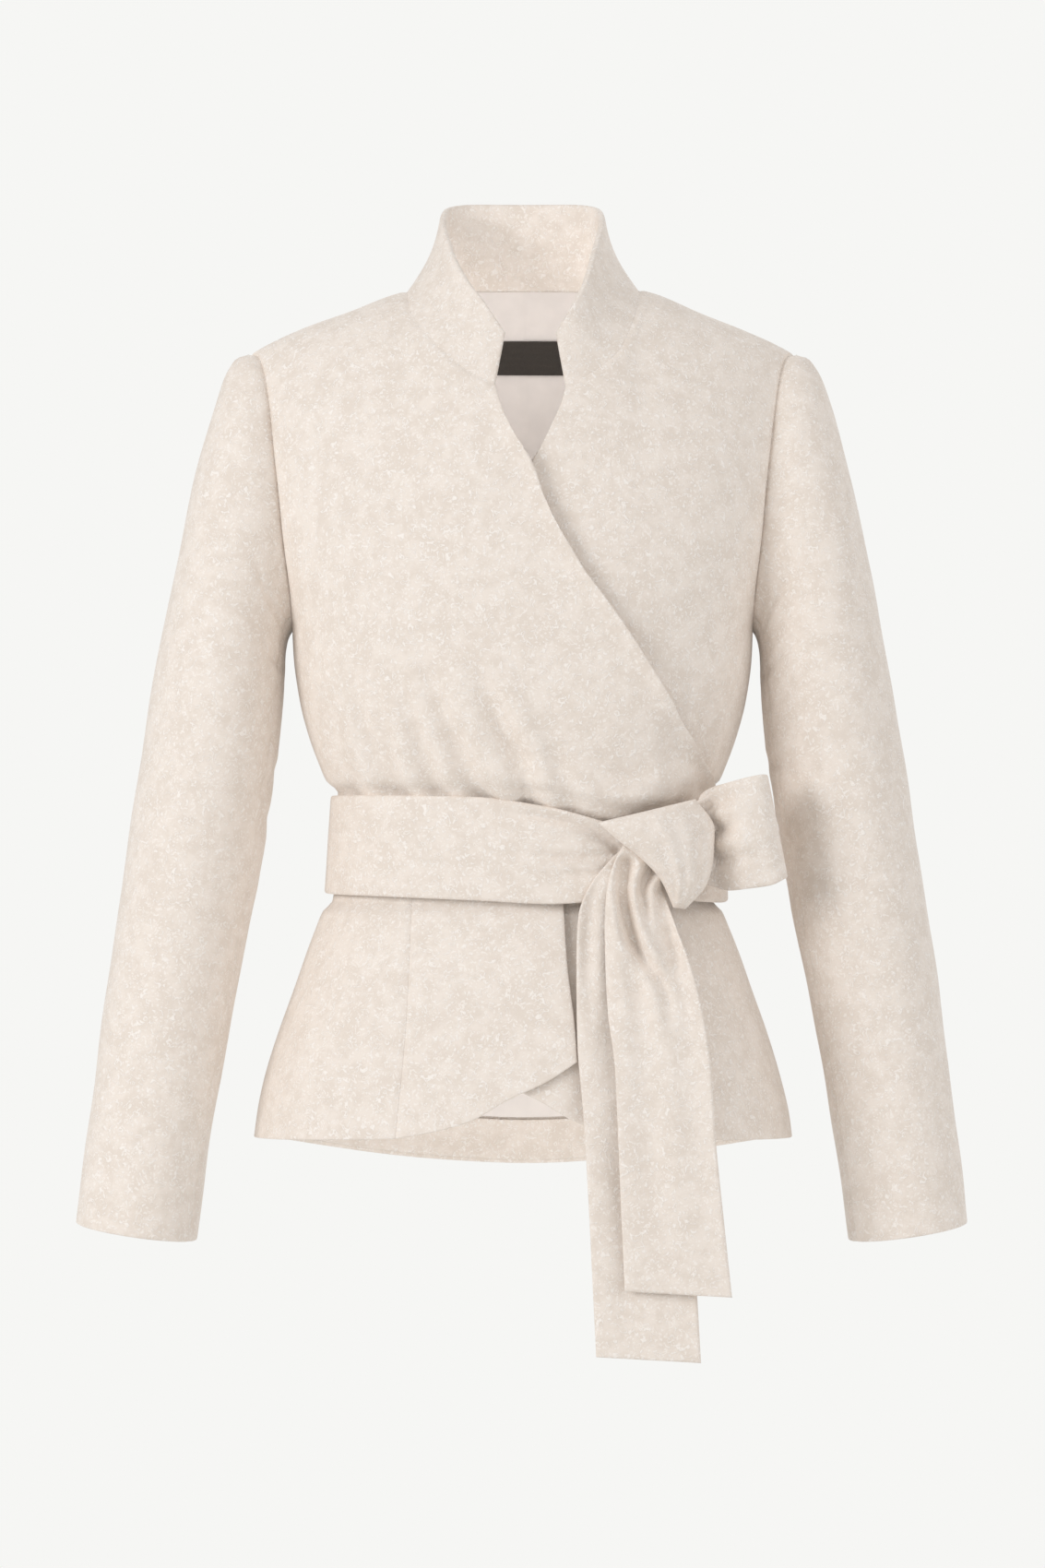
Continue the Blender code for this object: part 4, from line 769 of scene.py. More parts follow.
def wall(name, outer, inner, material, replaced, free=ALL_FREE):
    """A closed wall of cloth between an outer and an inner grid, standing for CAD nodes.

    free: for its bottom, top, first and last edge, 1 where it is a free edge and 0 where it is sewn.
    """
    outer, inner = rolled(outer, inner, free)
    rows, columns = outer.shape[:2]
    count = rows * columns
    number = np.arange(count).reshape(rows, columns)
    corners = [number[:-1, :-1], number[:-1, 1:], number[1:, 1:], number[1:, :-1]]
    face = np.stack(corners, -1).reshape(-1, 4)
    ring = np.concatenate([number[0, :-1], number[:-1, -1], number[-1, :0:-1], number[:0:-1, 0]])
    on = np.roll(ring, -1)
    rim = np.stack([on, ring, ring + count, on + count], -1)
    quads = np.concatenate([face, face[:, ::-1] + count, rim])
    places = np.concatenate([outer.reshape(-1, 3), inner.reshape(-1, 3)])
    mesh = bpy.data.meshes.new(name)
    mesh.from_pydata(places.tolist(), [], quads.tolist())
    mesh.polygons.foreach_set("use_smooth", np.ones(len(quads), bool))
    mesh.materials.append(material)
    made = bpy.data.objects.new(name, mesh)
    bpy.context.scene.collection.objects.link(made)
    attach(made, "root")
    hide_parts(*replaced)
    return made


def panel(name, grid, face=0, lift=0.0, thickness=CLOTH, material=None, trim=CLOSE, free=ALL_FREE):
    """A piece of cloth on the body form; front pieces stay before the side seams, back ones behind."""
    turn, level = grid[..., 0], grid[..., 1]
    lift = lift - seam_groove(form(turn, level), free)
    walls = [trimmed(on_form(turn, level, lift - depth), trim, trim) for depth in (0, thickness)]
    for side in walls:
        if face > 0:
            side[..., 1] = np.minimum(side[..., 1], -CLOSE)
        if face < 0:
            side[..., 1] = np.maximum(side[..., 1], CLOSE)
    return wall(name + "_cloth", *walls, material or wool(), [name], free)


def patch(up, bottom, top, left, right):
    """A grid of turns and levels between four edges, rows from bottom to top at these shares.

    Each row keeps to its own two ends. Above the underarm the levels are scaled to end on the top
    edge; what the bottom edge adds to them fades fast.
    """
    up = up[:, None]
    spread = (1 - up) * share_of(bottom[:, 0]) + up * share_of(top[:, 0])
    ends = left[:, None] * (1 - spread[..., None]) + right[:, None] * spread[..., None]
    level = ends[..., 1]
    above = np.maximum(level, 1) - 1
    reach = (top[:, 1] - 1) / np.maximum(level[-1] - 1, 1e-9)
    drop = (1 - share_of(left[:, 1])[:, None]) ** 2 * (bottom[:, 1] - level[0])
    return np.stack([ends[..., 0], np.minimum(level, 1) + above * reach + drop], -1)


def evened(grid, row):
    """Beside the underarm and above it the rows run on smoothly from the rows below."""
    columns = np.arange(grid.shape[1])
    weight = ease(0, EVEN_COLUMNS, np.minimum(columns, columns[-1] - columns))[None, :, None]
    for _ in range(EVENINGS):
        part = grid[row - EVEN_ROWS - 1 : row + EVEN_ROWS + 2]
        mean = (part[:-2] + 2 * part[1:-1] + part[2:]) / 4
        grid[row - EVEN_ROWS : row + EVEN_ROWS + 1] += weight * (mean - part[1:-1])
    return grid


def straight(start, end, at):
    return start + (end - start) * at[:, None]


# ---------------------------------------------------------------- fronts and back
def side_edge(side, face, heights, at, arm_rows):
    """Up a side seam through these heights, then round the armhole; at counts coarse rows."""
    turn_of = len(heights) - 1
    low = at[at <= turn_of]
    seam = np.stack([np.full(len(low), 90.0 * side), level_at(read(heights, low))], -1)
    return np.concatenate([seam, armhole(side, face, (at[len(low):] - turn_of) / arm_rows)])


def wrap_line(side, at):
    """A front's free edge from the waist over the wrap to the notch, then the neck seam."""
    cinch = np.append(CINCH_ROWS, WRAP_EDGE[-3].height)
    low = at[at <= len(cinch) - 1]
    start = marks(WRAP_EDGE, side)
    start = start[start[:, 1] >= WRAP_EDGE[-3].height - 1e-6]
    middle = at[(at > len(cinch) - 1) & (at <= WRAP_ROWS)]
    over = along(start, 1 - (middle - len(cinch) + 1) / (WRAP_ROWS - len(cinch) + 1))
    neck = edge(NECK_FRONT, side, (at[at > WRAP_ROWS] - WRAP_ROWS) / NECK_FRONT_STEPS)
    foot = edge_at(WRAP_EDGE, side, read(cinch, low))
    return np.concatenate([foot, place(over[:, 0], over[:, 1]), neck])


def front_free(side, at):
    """A front is sewn at its side, shoulder and waist; its other edge is free up to the neck seam."""
    wrap = 1 - ease(WRAP_ROWS - 0.3, WRAP_ROWS, at)[:, None]
    return (0, 0, 0, wrap) if side < 0 else (0, 0, wrap, 0)


def front_grid(side, step):
    heights = rows_above(CINCH_ROWS, UNDERARM, SIDE_ROWS)
    heights = np.append(heights, UNDERARM)
    at = lines(list(np.diff(heights)) + [ARMHOLE_SPAN] * ARMHOLE_STEPS, step)
    outer = side_edge(side, 1, heights, at, ARMHOLE_STEPS)
    free = wrap_line(side, at)
    across = lines_across(FRONT_SPAN, step)
    bottom = straight(outer[0], free[0], across)
    top = shoulder(side, 1 - across)
    up = at / at[-1]
    corner = int(np.argmin(abs(at - len(heights) + 1)))
    if side > 0:
        return evened(patch(up, bottom[::-1], top[::-1], free, outer), corner), front_free(side, at)
    return evened(patch(up, bottom, top, outer, free), corner), front_free(side, at)


def build_fronts(step):
    right, free = front_grid(-1, step)
    at = form(right[..., 0], right[..., 1])
    lift = wrap_lift(at, -1) + pleat_lift(at) + blouse_lift(at) + belt_fill(at) + body_lift(at)
    lift += fold_lift(at, WAIST_FOLDS) * (at[..., 1] < 0)
    lift += EDGE_PUFF * free[3] * np.exp(-((edge_distances(at)[3] / EDGE_PUFF_HALF) ** 2))
    made = panel("front_right", right, 1, lift, free=free)
    left, free = front_grid(1, step * SPACING["front_left"])
    at = form(left[..., 0], left[..., 1])
    lift = wrap_lift(at, 1) + blouse_lift(at) + belt_fill(at) + body_lift(at)
    made = panel("front_left", left, 1, lift, free=free)


def back_grid(heights, arm_rows, shoulder_columns, neck_columns, step):
    """The back between its side seams, up to the shoulders and the neck.

    Each half is a shoulder part and a neck part, which meet on a line up to the shoulder's neck end.
    """
    arm_span = ARMHOLE_SPAN * ARMHOLE_STEPS / arm_rows
    at = lines(list(np.diff(heights)) + [arm_span] * arm_rows, step)
    outer = side_edge(1, -1, heights, at, arm_rows)
    near = lines_across(BACK_SHOULDER_SPAN, step)
    far = lines_across(BACK_NECK_SPAN, step)
    top = shoulder(1, 1 - near, -1)
    neck = edge(NECK_BACK, 1, far, back=True, pulled=False)
    split = 90 + 90 * shoulder_columns / (shoulder_columns + neck_columns)
    meeting, middle = outer.copy(), outer.copy()
    meeting[:, 0] = split + (top[-1, 0] - split) * ease(0, 1, share_of(outer[:, 1]))
    middle[:, 0] = 180.0
    up = at / at[-1]
    beside = patch(up, straight(outer[0], meeting[0], near), top, outer, meeting)
    inward = patch(up, straight(meeting[0], middle[0], far), neck, meeting, middle)
    half = np.concatenate([beside[:, : -len(RIM)], inward[:, len(RIM) :]], axis=1)[:, : -len(RIM) + 1]
    half[:, -1] = inward[:, -1]
    mirrored = half[:, -2::-1].copy()
    mirrored[..., 0] = 360 - mirrored[..., 0]
    return np.concatenate([half, mirrored], axis=1), at


def build_back(step):
    heights = np.append(rows_above(CINCH_ROWS, UNDERARM, BACK_ROWS), UNDERARM)
    grid, _ = back_grid(heights, ARMHOLE_STEPS, BACK_SHOULDER_COLUMNS, NECK_BACK_STEPS, step)
    made = panel("back", grid, -1, body_lift(form(grid[..., 0], grid[..., 1])), free=ALL_SEWN)


# ---------------------------------------------------------------- peplum
def hem_height(turn):
    """The hem behind the side seams drops towards the back centre."""
    behind = (1 - np.cos(np.radians(np.abs(turn) - 90) * 2)) / 2
    return HEM_SIDE + (HEM_BACK - HEM_SIDE) * behind


def peplum_rows(low):
    """Coarse heights from the hem up to the waist, close together under the belt."""
    return np.concatenate([np.linspace(low, PEPLUM_CINCH[0], PEPLUM_ROWS - 2)[:-1], PEPLUM_CINCH])


def peplum_lines(step):
    return lines(np.diff(peplum_rows(HEM_SIDE)), step)


def peplum_grids(side, step):
    """The front and the side panel of one half of the peplum."""
    at = peplum_lines(step)
    free_low, seam_low = PEPLUM_EDGE[-1].height, PEPLUM_SEAM[-1].height
    free = edge_at(PEPLUM_EDGE, side, read(peplum_rows(free_low), at), pulled=False)
    seam = edge_at(PEPLUM_SEAM, side, read(peplum_rows(seam_low), at), pulled=False)
    heights = read(peplum_rows(HEM_SIDE), at)
    outer = np.stack([np.full(len(heights), 90.0 * side), level_at(heights)], -1)
    near, far = lines_across(PEPLUM_FRONT_SPAN, step), lines_across(PEPLUM_SIDE_SPAN, step)
    hem = edge(PEPLUM_HEM, side, near, pulled=False)
    up = at / at[-1]
    front = (hem, straight(free[-1], seam[-1], near), free, seam)
    beside = (straight(seam[0], outer[0], far), straight(seam[-1], outer[-1], far), seam, outer)
    if side > 0:
        return patch(up, *front), patch(up, *beside)
    return [patch(up, low[::-1], high[::-1], b, a) for low, high, a, b in (front, beside)]


def hem_band_grid(step, facing=False):
    """The back peplum from its hem up to the waist, or only the facing's height."""
    turns = 90 + 180 * lines_across(PEPLUM_BACK_SPAN, step)
    low = hem_height(turns)
    if facing:
        up = lines_across(FACING_HEIGHT, step)[:, None]
        levels = level_at(low + FACING_EDGE + (FACING_HEIGHT - FACING_EDGE) * up)
    else:
        coarse = np.stack([peplum_rows(height) for height in low], 1)
        levels = level_at(read(coarse, peplum_lines(step)))
    return np.stack([np.broadcast_to(turns, levels.shape), levels], -1)


def build_peplum(step):
    for side, word in ((-1, "right"), (1, "left")):
        for kind, grid in zip(("front", "side"), peplum_grids(side, step)):
            at = form(grid[..., 0], grid[..., 1])
            edges = (1, 0, 0, 0) if kind == "side" else (1, 0, side > 0, side < 0)
            lift = wrap_lift(at, side) + body_lift(at)
            made = panel("peplum_{}_{}".format(kind, word), grid, 1, lift, free=edges)
    grid = hem_band_grid(step * SPACING["peplum_back"])
    lift = body_lift(form(grid[..., 0], grid[..., 1]))
    made = panel("peplum_back", grid, -1, lift, free=(1, 0, 0, 0))


# ---------------------------------------------------------------- lining, facing, label
def build_lining(step):
    facing = hem_band_grid(step * SPACING["hem_facing"], facing=True)
    at = form(facing[..., 0], facing[..., 1])
    off_seam = (at[..., 0] - FACING_SEAM_X) / FACING_SEAM_HALF
    lift = body_lift(at) + FACING_SEAM_DEPTH * -np.exp(-(off_seam**2))
    made = panel("hem_facing", facing, -1, lift - (CLOTH + LAYER_GAP), FACING_CLOTH, trim=FACING_TRIM)
    low = HEM_SIDE + FACING_HEIGHT + LAYER_GAP
    heights = np.concatenate([[low], LINING_ROWS, [UNDERARM]])
    columns = (LINING_SHOULDER_COLUMNS, LINING_NECK_COLUMNS)
    grid, rows = back_grid(heights, LINING_ARM_ROWS, *columns, step * SPACING["back_lining"])
    drop = level_at(hem_height(grid[0, :, 0])) - level_at(HEM_SIDE)
    grid[..., 1] += drop[None, :] * (1 - ease(0, 2, rows))[:, None]
    at = form(grid[..., 0], grid[..., 1])
    lift = body_lift(at) - (CLOTH + LINING_STAND) + centre_pleat(at)
    made = panel("back_lining", grid, -1, lift, LINING_CLOTH, satin(), trim=LINING_TRIM)
    across = lines_across(LABEL_WIDTH, LABEL_STEP)
    up = lines_across(LABEL_TOP - LABEL_BOTTOM, LABEL_STEP)
    x = LABEL_X + LABEL_WIDTH / 2 - LABEL_WIDTH * across
    height = LABEL_BOTTOM + (LABEL_TOP - LABEL_BOTTOM) * up
    spot = place(x[None, :], height[:, None], back=True)
    lift = body_lift(form(spot[..., 0], spot[..., 1])) - (CLOTH + LINING_STAND + LABEL_STAND)
    made = panel("label", spot, -1, lift, LABEL_CLOTH, woven())


def centre_pleat(points):
    """The lining's ease pleat: one side of the back centre lies a little over the other."""
    x = points[..., 0]
    step_over = 1 - ease(PLEAT_X - PLEAT_STEP_HALF, PLEAT_X + PLEAT_STEP_HALF, x)
    return PLEAT_STAND * step_over * np.exp(-(((x - PLEAT_X) / PLEAT_REACH) ** 2)) * -1


# ---------------------------------------------------------------- collar
def neck_seams(front_at, back_at):
    """The neck seam of each half, from its notch to the back centre."""
    halves = []
    for side in (1, -1):
        front = edge(NECK_FRONT, side, front_at)
        back = edge(NECK_BACK, side, back_at, back=True, pulled=False)
        if side < 0:
            back[:, 0] = np.where(back[:, 0] > 0, back[:, 0], 360 + back[:, 0])
        line = np.concatenate([front, back[1:]])
        at = form(line[:, 0], line[:, 1])
        halves.append(on_form(line[:, 0], line[:, 1], body_lift(at) - GROOVE))
    return halves


def build_collar(step):
    step = step * SPACING["collar"]
    halves = []
    near = lines_across(NECK_FRONT_SPAN, step)[: -len(RIM) + 1]
    near[-1] = 1.0
    far = shares(round(BACK_NECK_SPAN / step))
    for seam, side in zip(neck_seams(near, far), (1, -1)):
        run = run_along(seam)
        at = run / run[-1]
        share = column(COLLAR_TOP, "share")
        top = np.stack([smooth(share, column(COLLAR_TOP, n), at) for n in ("x", "y", "height")], -1)
        top[:, 0] = top[:, 0] * side + NECK_PULL * (1 - ease(*COLLAR_PULLED, at))
        up = lines_across(COLLAR_SPAN, step)[:, None, None]
        band = (1 - up) * seam + up * top
        inward = band * np.array([1, 1, 0])
        hollow = COLLAR_HOLLOW * np.sin(math.pi * up) * ease(*COLLAR_HOLLOWS, at)[None, :, None]
        halves.append(band - unit(inward) * hollow)
    band = np.concatenate([halves[0], halves[1][:, ::-1][:, 1:]], axis=1)
    middle = near.shape[0] + far.shape[0] - 2
    low, high = middle - COLLAR_EASED, middle + COLLAR_EASED + 1
    for _ in range(COLLAR_EASINGS):
        part = band[:, low - 1 : high + 1]
        band[:, low:high] = (part[:, :-2] + 2 * part[:, 1:-1] + part[:, 2:]) / 4
    thick = COLLAR_SEAM_CLOTH + (COLLAR_CLOTH - COLLAR_SEAM_CLOTH) * ease(*COLLAR_THICKENS, up)
    inner = inside(band, thick)
    inner[0, :, 2] = band[0, :, 2] - COLLAR_HANG
    made = wall("collar_cloth", band, inner, wool(), ["collar"], (0, 1, 1, 1))


# ---------------------------------------------------------------- sleeves
def sleeve_points(side, angles, rows):
    """Rings from the armhole to the cuff; angles run tip, front, underarm, back, tip."""
    turned = angles % (2 * math.pi)
    front = armhole(side, 1, 1 - turned / math.pi)
    back = armhole(side, -1, turned / math.pi - 1)
    hole = np.where((turned <= math.pi)[:, None], front, back)
    at = form(hole[:, 0], hole[:, 1])
    seam = on_form(hole[:, 0], hole[:, 1], body_lift(at) - GROOVE)
    names = ("outer_x", "outer_z", "inner_x", "inner_z", "middle_y", "half_depth")
    table = read(np.stack([column(SLEEVE, n) for n in names], -1), rows)
    rings = []
    for row, (outer_x, outer_z, inner_x, inner_z, middle_y, half_depth) in zip(rows, table):
        outer = np.array([outer_x * side, middle_y, outer_z])
        inner = np.array([inner_x * side, middle_y, inner_z])
        half = (outer - inner) / 2
        ahead = np.array([0, -half_depth, 0])
        ring = (outer + inner) / 2 + half * np.cos(angles)[:, None] + ahead * np.sin(angles)[:, None]
        if row == rows[0]:
            rest = seam - ring
        rings.append(ring + rest * (1 - ease(0, SLEEVE_ROUNDING, row)))
    return np.array(rings)


def sleeve_folds(angles, rows, folds):
    """Troughs drawn on the unrolled sleeve: degrees round it and row numbers."""
    around, down = np.degrees(angles)[None, :] * SLEEVE_ARC, rows[:, None] * SLEEVE_ROW
    around, down = np.broadcast_arrays(around, down)
    drawn = []
    for fold in folds:
        drawn.append(fold._replace(path=[(a * SLEEVE_ARC, r * SLEEVE_ROW) for a, r in fold.path]))
    return fold_lift(np.stack([around, around * 0, down], -1), drawn)


def build_sleeves(step):
    spans = np.hypot(np.diff(column(SLEEVE, "outer_x")), np.diff(column(SLEEVE, "outer_z")))
    spans = np.maximum(spans, SLEEVE_LEAST_SPAN)
    step = step * SPACING["sleeves"]
    rows = lines(spans, step)
    seam_one = 2 * math.pi * FRONT_SEAM_STEP / RING_STEPS
    seam_two = 2 * math.pi * BACK_SEAM_STEP / RING_STEPS
    for side, word in ((-1, "right"), (1, "left")):
        for name, start, end, flat, area in (
            ("upper", seam_two - 2 * math.pi, seam_one, (0.29, 0.66), 0.120),
            ("under", seam_one, seam_two, (0.14, 0.45), 0.045),
        ):
            angles = start + (end - start) * lines_across((end - start) * SLEEVE_RADIUS, step)
            points = sleeve_points(side, angles, rows)
            lift = slow_waves(points) * ease(0, 2, rows)[:, None]
            lift += sleeve_folds(angles, rows, SLEEVE_FOLDS[side])
            from_top = edge_distances(points)[0]
            out_of_groove = 1 - np.exp(-((from_top / GROOVE_HALF) ** 2))
            lift += GROOVE * out_of_groove * (1 - ease(*CAP_FADE, from_top))
            seams = seam_groove(points, (1, 1, 0, 0)) * ease(0, CAP_FOOT, from_top)
            lift = lift * ease(0, GROOVE_HALF, from_top) - seams
            points, lift = points[::-1], lift[::-1]
            if side > 0:
                points, lift = points[:, ::-1], lift[:, ::-1]
            out = normals(points)
            outer = points + out * lift[..., None]
            node_name = "sleeve_{}_{}".format(name, word)
            walls = (outer, outer - out * CLOTH)
            made = wall(node_name + "_cloth", *walls, wool(), [node_name], (1, 0, 0, 0))


# ---------------------------------------------------------------- belt
def belt_points(stand, turns, up):
    rows = [smooth(column(BELT, "turn"), column(BELT, n), turns) for n in ("top", "bottom", "rise")]
    top, bottom, rise = rows
    up = up[:, None]
    heights = (1 - up) * bottom + up * top
    grid_turns = np.broadcast_to(turns, heights.shape)
    level = np.full(heights.shape, level_at(WAIST))
    ahead = np.cos(np.radians(grid_turns)) > 0
    lift = wrap_lift(form(grid_turns, level), -1) * ahead + BELT_FLARE * (1 - up)
    points = on_form(grid_turns, level, stand + lift + rise)
    points[..., 2] = heights
    front = points[..., 1] < 0
    folds = np.where(front, fold_lift(points, BELT_FOLDS), fold_lift(points, BELT_BACK_FOLDS))
    push = outward(grid_turns, level) * (folds + slow_waves(points) * 0.8)[..., None]
    return points + push


def build_belt(step):
    turns = BELT[0].turn + (BELT[-1].turn - BELT[0].turn) * lines_across(BELT_SPAN, step)
    up = lines_across(BELT[2].top - BELT[2].bottom, step * SPACING["belt_height"])
    walls = [belt_points(stand, turns, up) for stand in (BELT_STAND, BELT_STAND - BELT_CLOTH)]
    made = wall("belt_band_cloth", *walls, wool(), ["belt_band"])


def knot_turn(x):
    """How far back the body's curve takes what is tied at the knot."""
    past = np.maximum(x - KNOT_LEFT[-1].x, 0)
    return KNOT_TURN * past + KNOT_CURL * past**2


def build_knot(step):
    """The wrap of the knot: a band drawn over the crossing, folded along its run."""
    at = lines_across(KNOT_WIDTH, step * SPACING["knot"])
    left = along([(m.x, m.height) for m in KNOT_LEFT], at)
    right = along([(m.x, m.height) for m in KNOT_RIGHT], at)
    flat = left[:, None] * (1 - at[None, :, None]) + right[:, None] * at[None, :, None]
    across, up = at[None, :], at[:, None]
    dome = (np.sin(math.pi * across).clip(0) * np.sin(math.pi * up).clip(0)) ** KNOT_FULLNESS
    back = KNOT_BACK + knot_turn(flat[..., 0])
    folds = np.zeros(dome.shape)
    for fold in KNOT_FOLDS:
        line = fold.foot + (fold.head - fold.foot) * up + fold.bow * np.sin(math.pi * up)
        off = (across - line) / fold.half
        folds += fold.depth * (np.exp(-(off**2)) - 0.5 * np.exp(-((off - 1.8) ** 2)))
    ahead = back - KNOT_EDGE - KNOT_DOME * dome + folds * dome
    behind = np.minimum(back, ahead + BELT_CLOTH + KNOT_HOLLOW * KNOT_DOME * dome)
    walls = [np.stack([flat[..., 0], depth, flat[..., 1]], -1) for depth in (ahead, behind)]
    made = wall("belt_knot_cloth", *walls, wool(), ["belt_knot"])


def build_loop(step):
    step = step * SPACING["loop"]
    at = lines(LOOP_SPANS, step)
    from_end = np.minimum(at, len(LOOP) - 1 - at)
    up = lines_across(LOOP_HEIGHT, step)[:, None]
    names = ("x", "y", "bottom", "top", "bulge", "lean")
    x, y, bottom, top, bulge, lean = (read(column(LOOP, n), at) for n in names)
    x = x + LOOP_REACH * ease(0.135, 0.170, x)
    heights = (1 - up) * bottom + up * top
    swell = np.sin(math.pi * up) * bulge
    gather = np.zeros(heights.shape)
    for fold in LOOP_FOLDS:
        line = fold.foot + (fold.head - fold.foot) * ease(0, 6, at)
        off = (up - line[None, :]) / fold.half
        near = 1 - ease(fold.reach * 0.35, fold.reach, from_end)
        gather += fold.depth * near[None, :] * (np.exp(-(off**2)) - 0.6 * np.exp(-((off - 1.7) ** 2)))
    points = np.stack([x + lean * up, y - swell, heights], -1)
    points = points - normals(points) * (gather * ease(0.0, 1.0, from_end))[..., None]
    made = wall("belt_loop_cloth", points, inside(points, BELT_CLOTH), wool(), ["belt_loop"])


def tail_points(table, folds, at, across):
    keys = np.linspace(0, 1, len(table))
    names = ("height", "left", "right", "y", "fold")
    height, left, right, y, fold = (smooth(keys, column(table, n), at)[:, None] for n in names)
    across = across[None, :]
    wave = np.sin(FOLD_WAVES * 2 * math.pi * across)
    x = left + (right - left) * across
    z = height - TAIL_SLANT * across * ease(0.5, 1.0, at)[:, None]
    turned = knot_turn(x) * (1 - ease(0.25, 0.6, at)[:, None])
    points = np.stack([x, y + turned - fold * wave * 0.5, z], -1)
    points[..., 1] -= fold_lift(points, folds) + slow_waves(points)
    return points[::-1]


def build_tails(step):
    across = lines_across(TAIL_WIDTH, step * SPACING["tails"])
    for name, table, folds, flat in (
        ("belt_tail_front", TAIL_FRONT, TAIL_FRONT_FOLDS, (0.075, 0.32)),
        ("belt_tail_back", TAIL_BACK, TAIL_BACK_FOLDS, (0.075, 0.36)),
    ):
        at = lines_across(flat[1], step)
        points = tail_points(table, folds, at, across)
        walls = points, points + np.array([0, BELT_CLOTH, 0])
        made = wall(name + "_cloth", *walls, wool(), [name])


# ---------------------------------------------------------------- finishes
def new_finish(name, colour, roughness, sheen, sheen_roughness):
    """A finish, its tree, its shader and the object's own coordinates."""
    made = bpy.data.materials.new(name)
    made.use_nodes = True
    tree = made.node_tree
    shader = tree.nodes["Principled BSDF"]
    constants = {
        "Base Color": colour,
        "Roughness": roughness,
        "Specular IOR Level": 0.12,
        "Sheen Weight": sheen,
        "Sheen Roughness": sheen_roughness,
        "Sheen Tint": (1.0, 0.97, 0.93, 1.0),
    }
    for socket, value in constants.items():
        shader.inputs[socket].default_value = value
    return made, tree, shader, tree.nodes.new("ShaderNodeTexCoord").outputs["Object"]


def roughen(tree, shader, shade, height, strength, distance):
    """Links a finish's colour and its fine relief."""
    tree.links.new(shade, shader.inputs["Base Color"])
    relief = {"Strength": strength, "Distance": distance, "Height": height}
    tree.links.new(node(tree, "ShaderNodeBump", relief).outputs[0], shader.inputs["Normal"])


def vectors(tree, kind, *values):
    return node(tree, "ShaderNodeVectorMath", dict(enumerate(values)), operation=kind).outputs


def opaque(colour):
    return tuple(colour) + (1.0,)


def node(tree, kind, inputs=(), **settings):
    made = tree.nodes.new(kind)
    for name, value in settings.items():
        setattr(made, name, value)
    for name, value in dict(inputs).items():
        if isinstance(value, bpy.types.NodeSocket):
            tree.links.new(value, made.inputs[name])
        else:
            made.inputs[name].default_value = value
    return made


def maths(tree, kind, *values):
    return node(tree, "ShaderNodeMath", dict(enumerate(values)), operation=kind).outputs[0]


def mixed(tree, share, one, other):
    """The colour between two colours."""
    return node(tree, "ShaderNodeMix", {0: share, 6: one, 7: other}, data_type="RGBA").outputs[2]


def speckle(tree, place, scale, detail=2.0, offset=(0, 0, 0), rough=0.5):
    moved = node(tree, "ShaderNodeMapping", {"Vector": place, "Location": offset}).outputs[0]
    settings = {"Vector": moved, "Scale": scale, "Detail": detail, "Roughness": rough}
    return node(tree, "ShaderNodeTexNoise", settings).outputs[0]


def ramp(tree, value, low, high):
    ends = {"Value": value, "From Min": low, "From Max": high}
    return node(tree, "ShaderNodeMapRange", ends, interpolation_type="SMOOTHSTEP").outputs[0]


def curls(tree, place, scale, turns, width, offset, broken):
    """Short curly threads: broken contour lines of a soft noise."""
    hills = speckle(tree, place, scale, 1.0, offset)
    bands = maths(tree, "PINGPONG", maths(tree, "MULTIPLY", hills, turns), 0.5)
    return maths(tree, "MULTIPLY", ramp(tree, bands, width, width * 0.25), broken)


def wool():
    """Boucle wool: a beige felted ground under lighter curly threads and a fuzzy nap."""
    if "curled_boucle" in bpy.data.materials:
        return bpy.data.materials["curled_boucle"]
    look = bpy.context.scene.jacket_look
    ground = opaque(look.wool_ground)
    made, tree, shader, coords = new_finish("curled_boucle", ground, 0.92, 0.35, 0.45)
    scale = 1.0 / look.curl_size
    stir = node(tree, "ShaderNodeTexNoise", {"Vector": coords, "Scale": scale * 0.7, "Detail": 1.0})
    shift = vectors(tree, "MULTIPLY", stir.outputs["Color"], (look.curl_size * 1.2,) * 3)[0]
    curled = vectors(tree, "ADD", coords, shift)[0]
    mask = speckle(tree, coords, scale * 0.8, 1.0, (3.1, 1.7, 0.4))
    first = curls(tree, curled, scale, 3.4, 0.20, (0.0, 0.0, 0.0), ramp(tree, mask, 0.46, 0.56))
    second = curls(tree, curled, scale * 1.5, 3.0, 0.20, (5.2, 1.3, 2.6), ramp(tree, mask, 0.54, 0.44))
    both = maths(tree, "MAXIMUM", first, maths(tree, "MULTIPLY", second, 0.8))
    fuzz = speckle(tree, coords, scale * 4.0, 2.0, (1.0, 2.0, 3.0), 0.75)
    cloud = speckle(tree, coords, 75.0, 3.0, (0.3, 0.7, 0.1), 0.72)
    pale = mixed(tree, ramp(tree, cloud, 0.36, 0.64), ground, opaque(look.wool_pale))
    flecked = mixed(tree, maths(tree, "MULTIPLY", both, 0.9), pale, opaque(look.wool_curl))
    height = maths(tree, "ADD", first, maths(tree, "MULTIPLY", fuzz, 0.6))
    height = maths(tree, "ADD", height, maths(tree, "MULTIPLY", cloud, 0.8))
    roughen(tree, shader, flecked, height, look.nap_strength, look.nap_height)
    return made


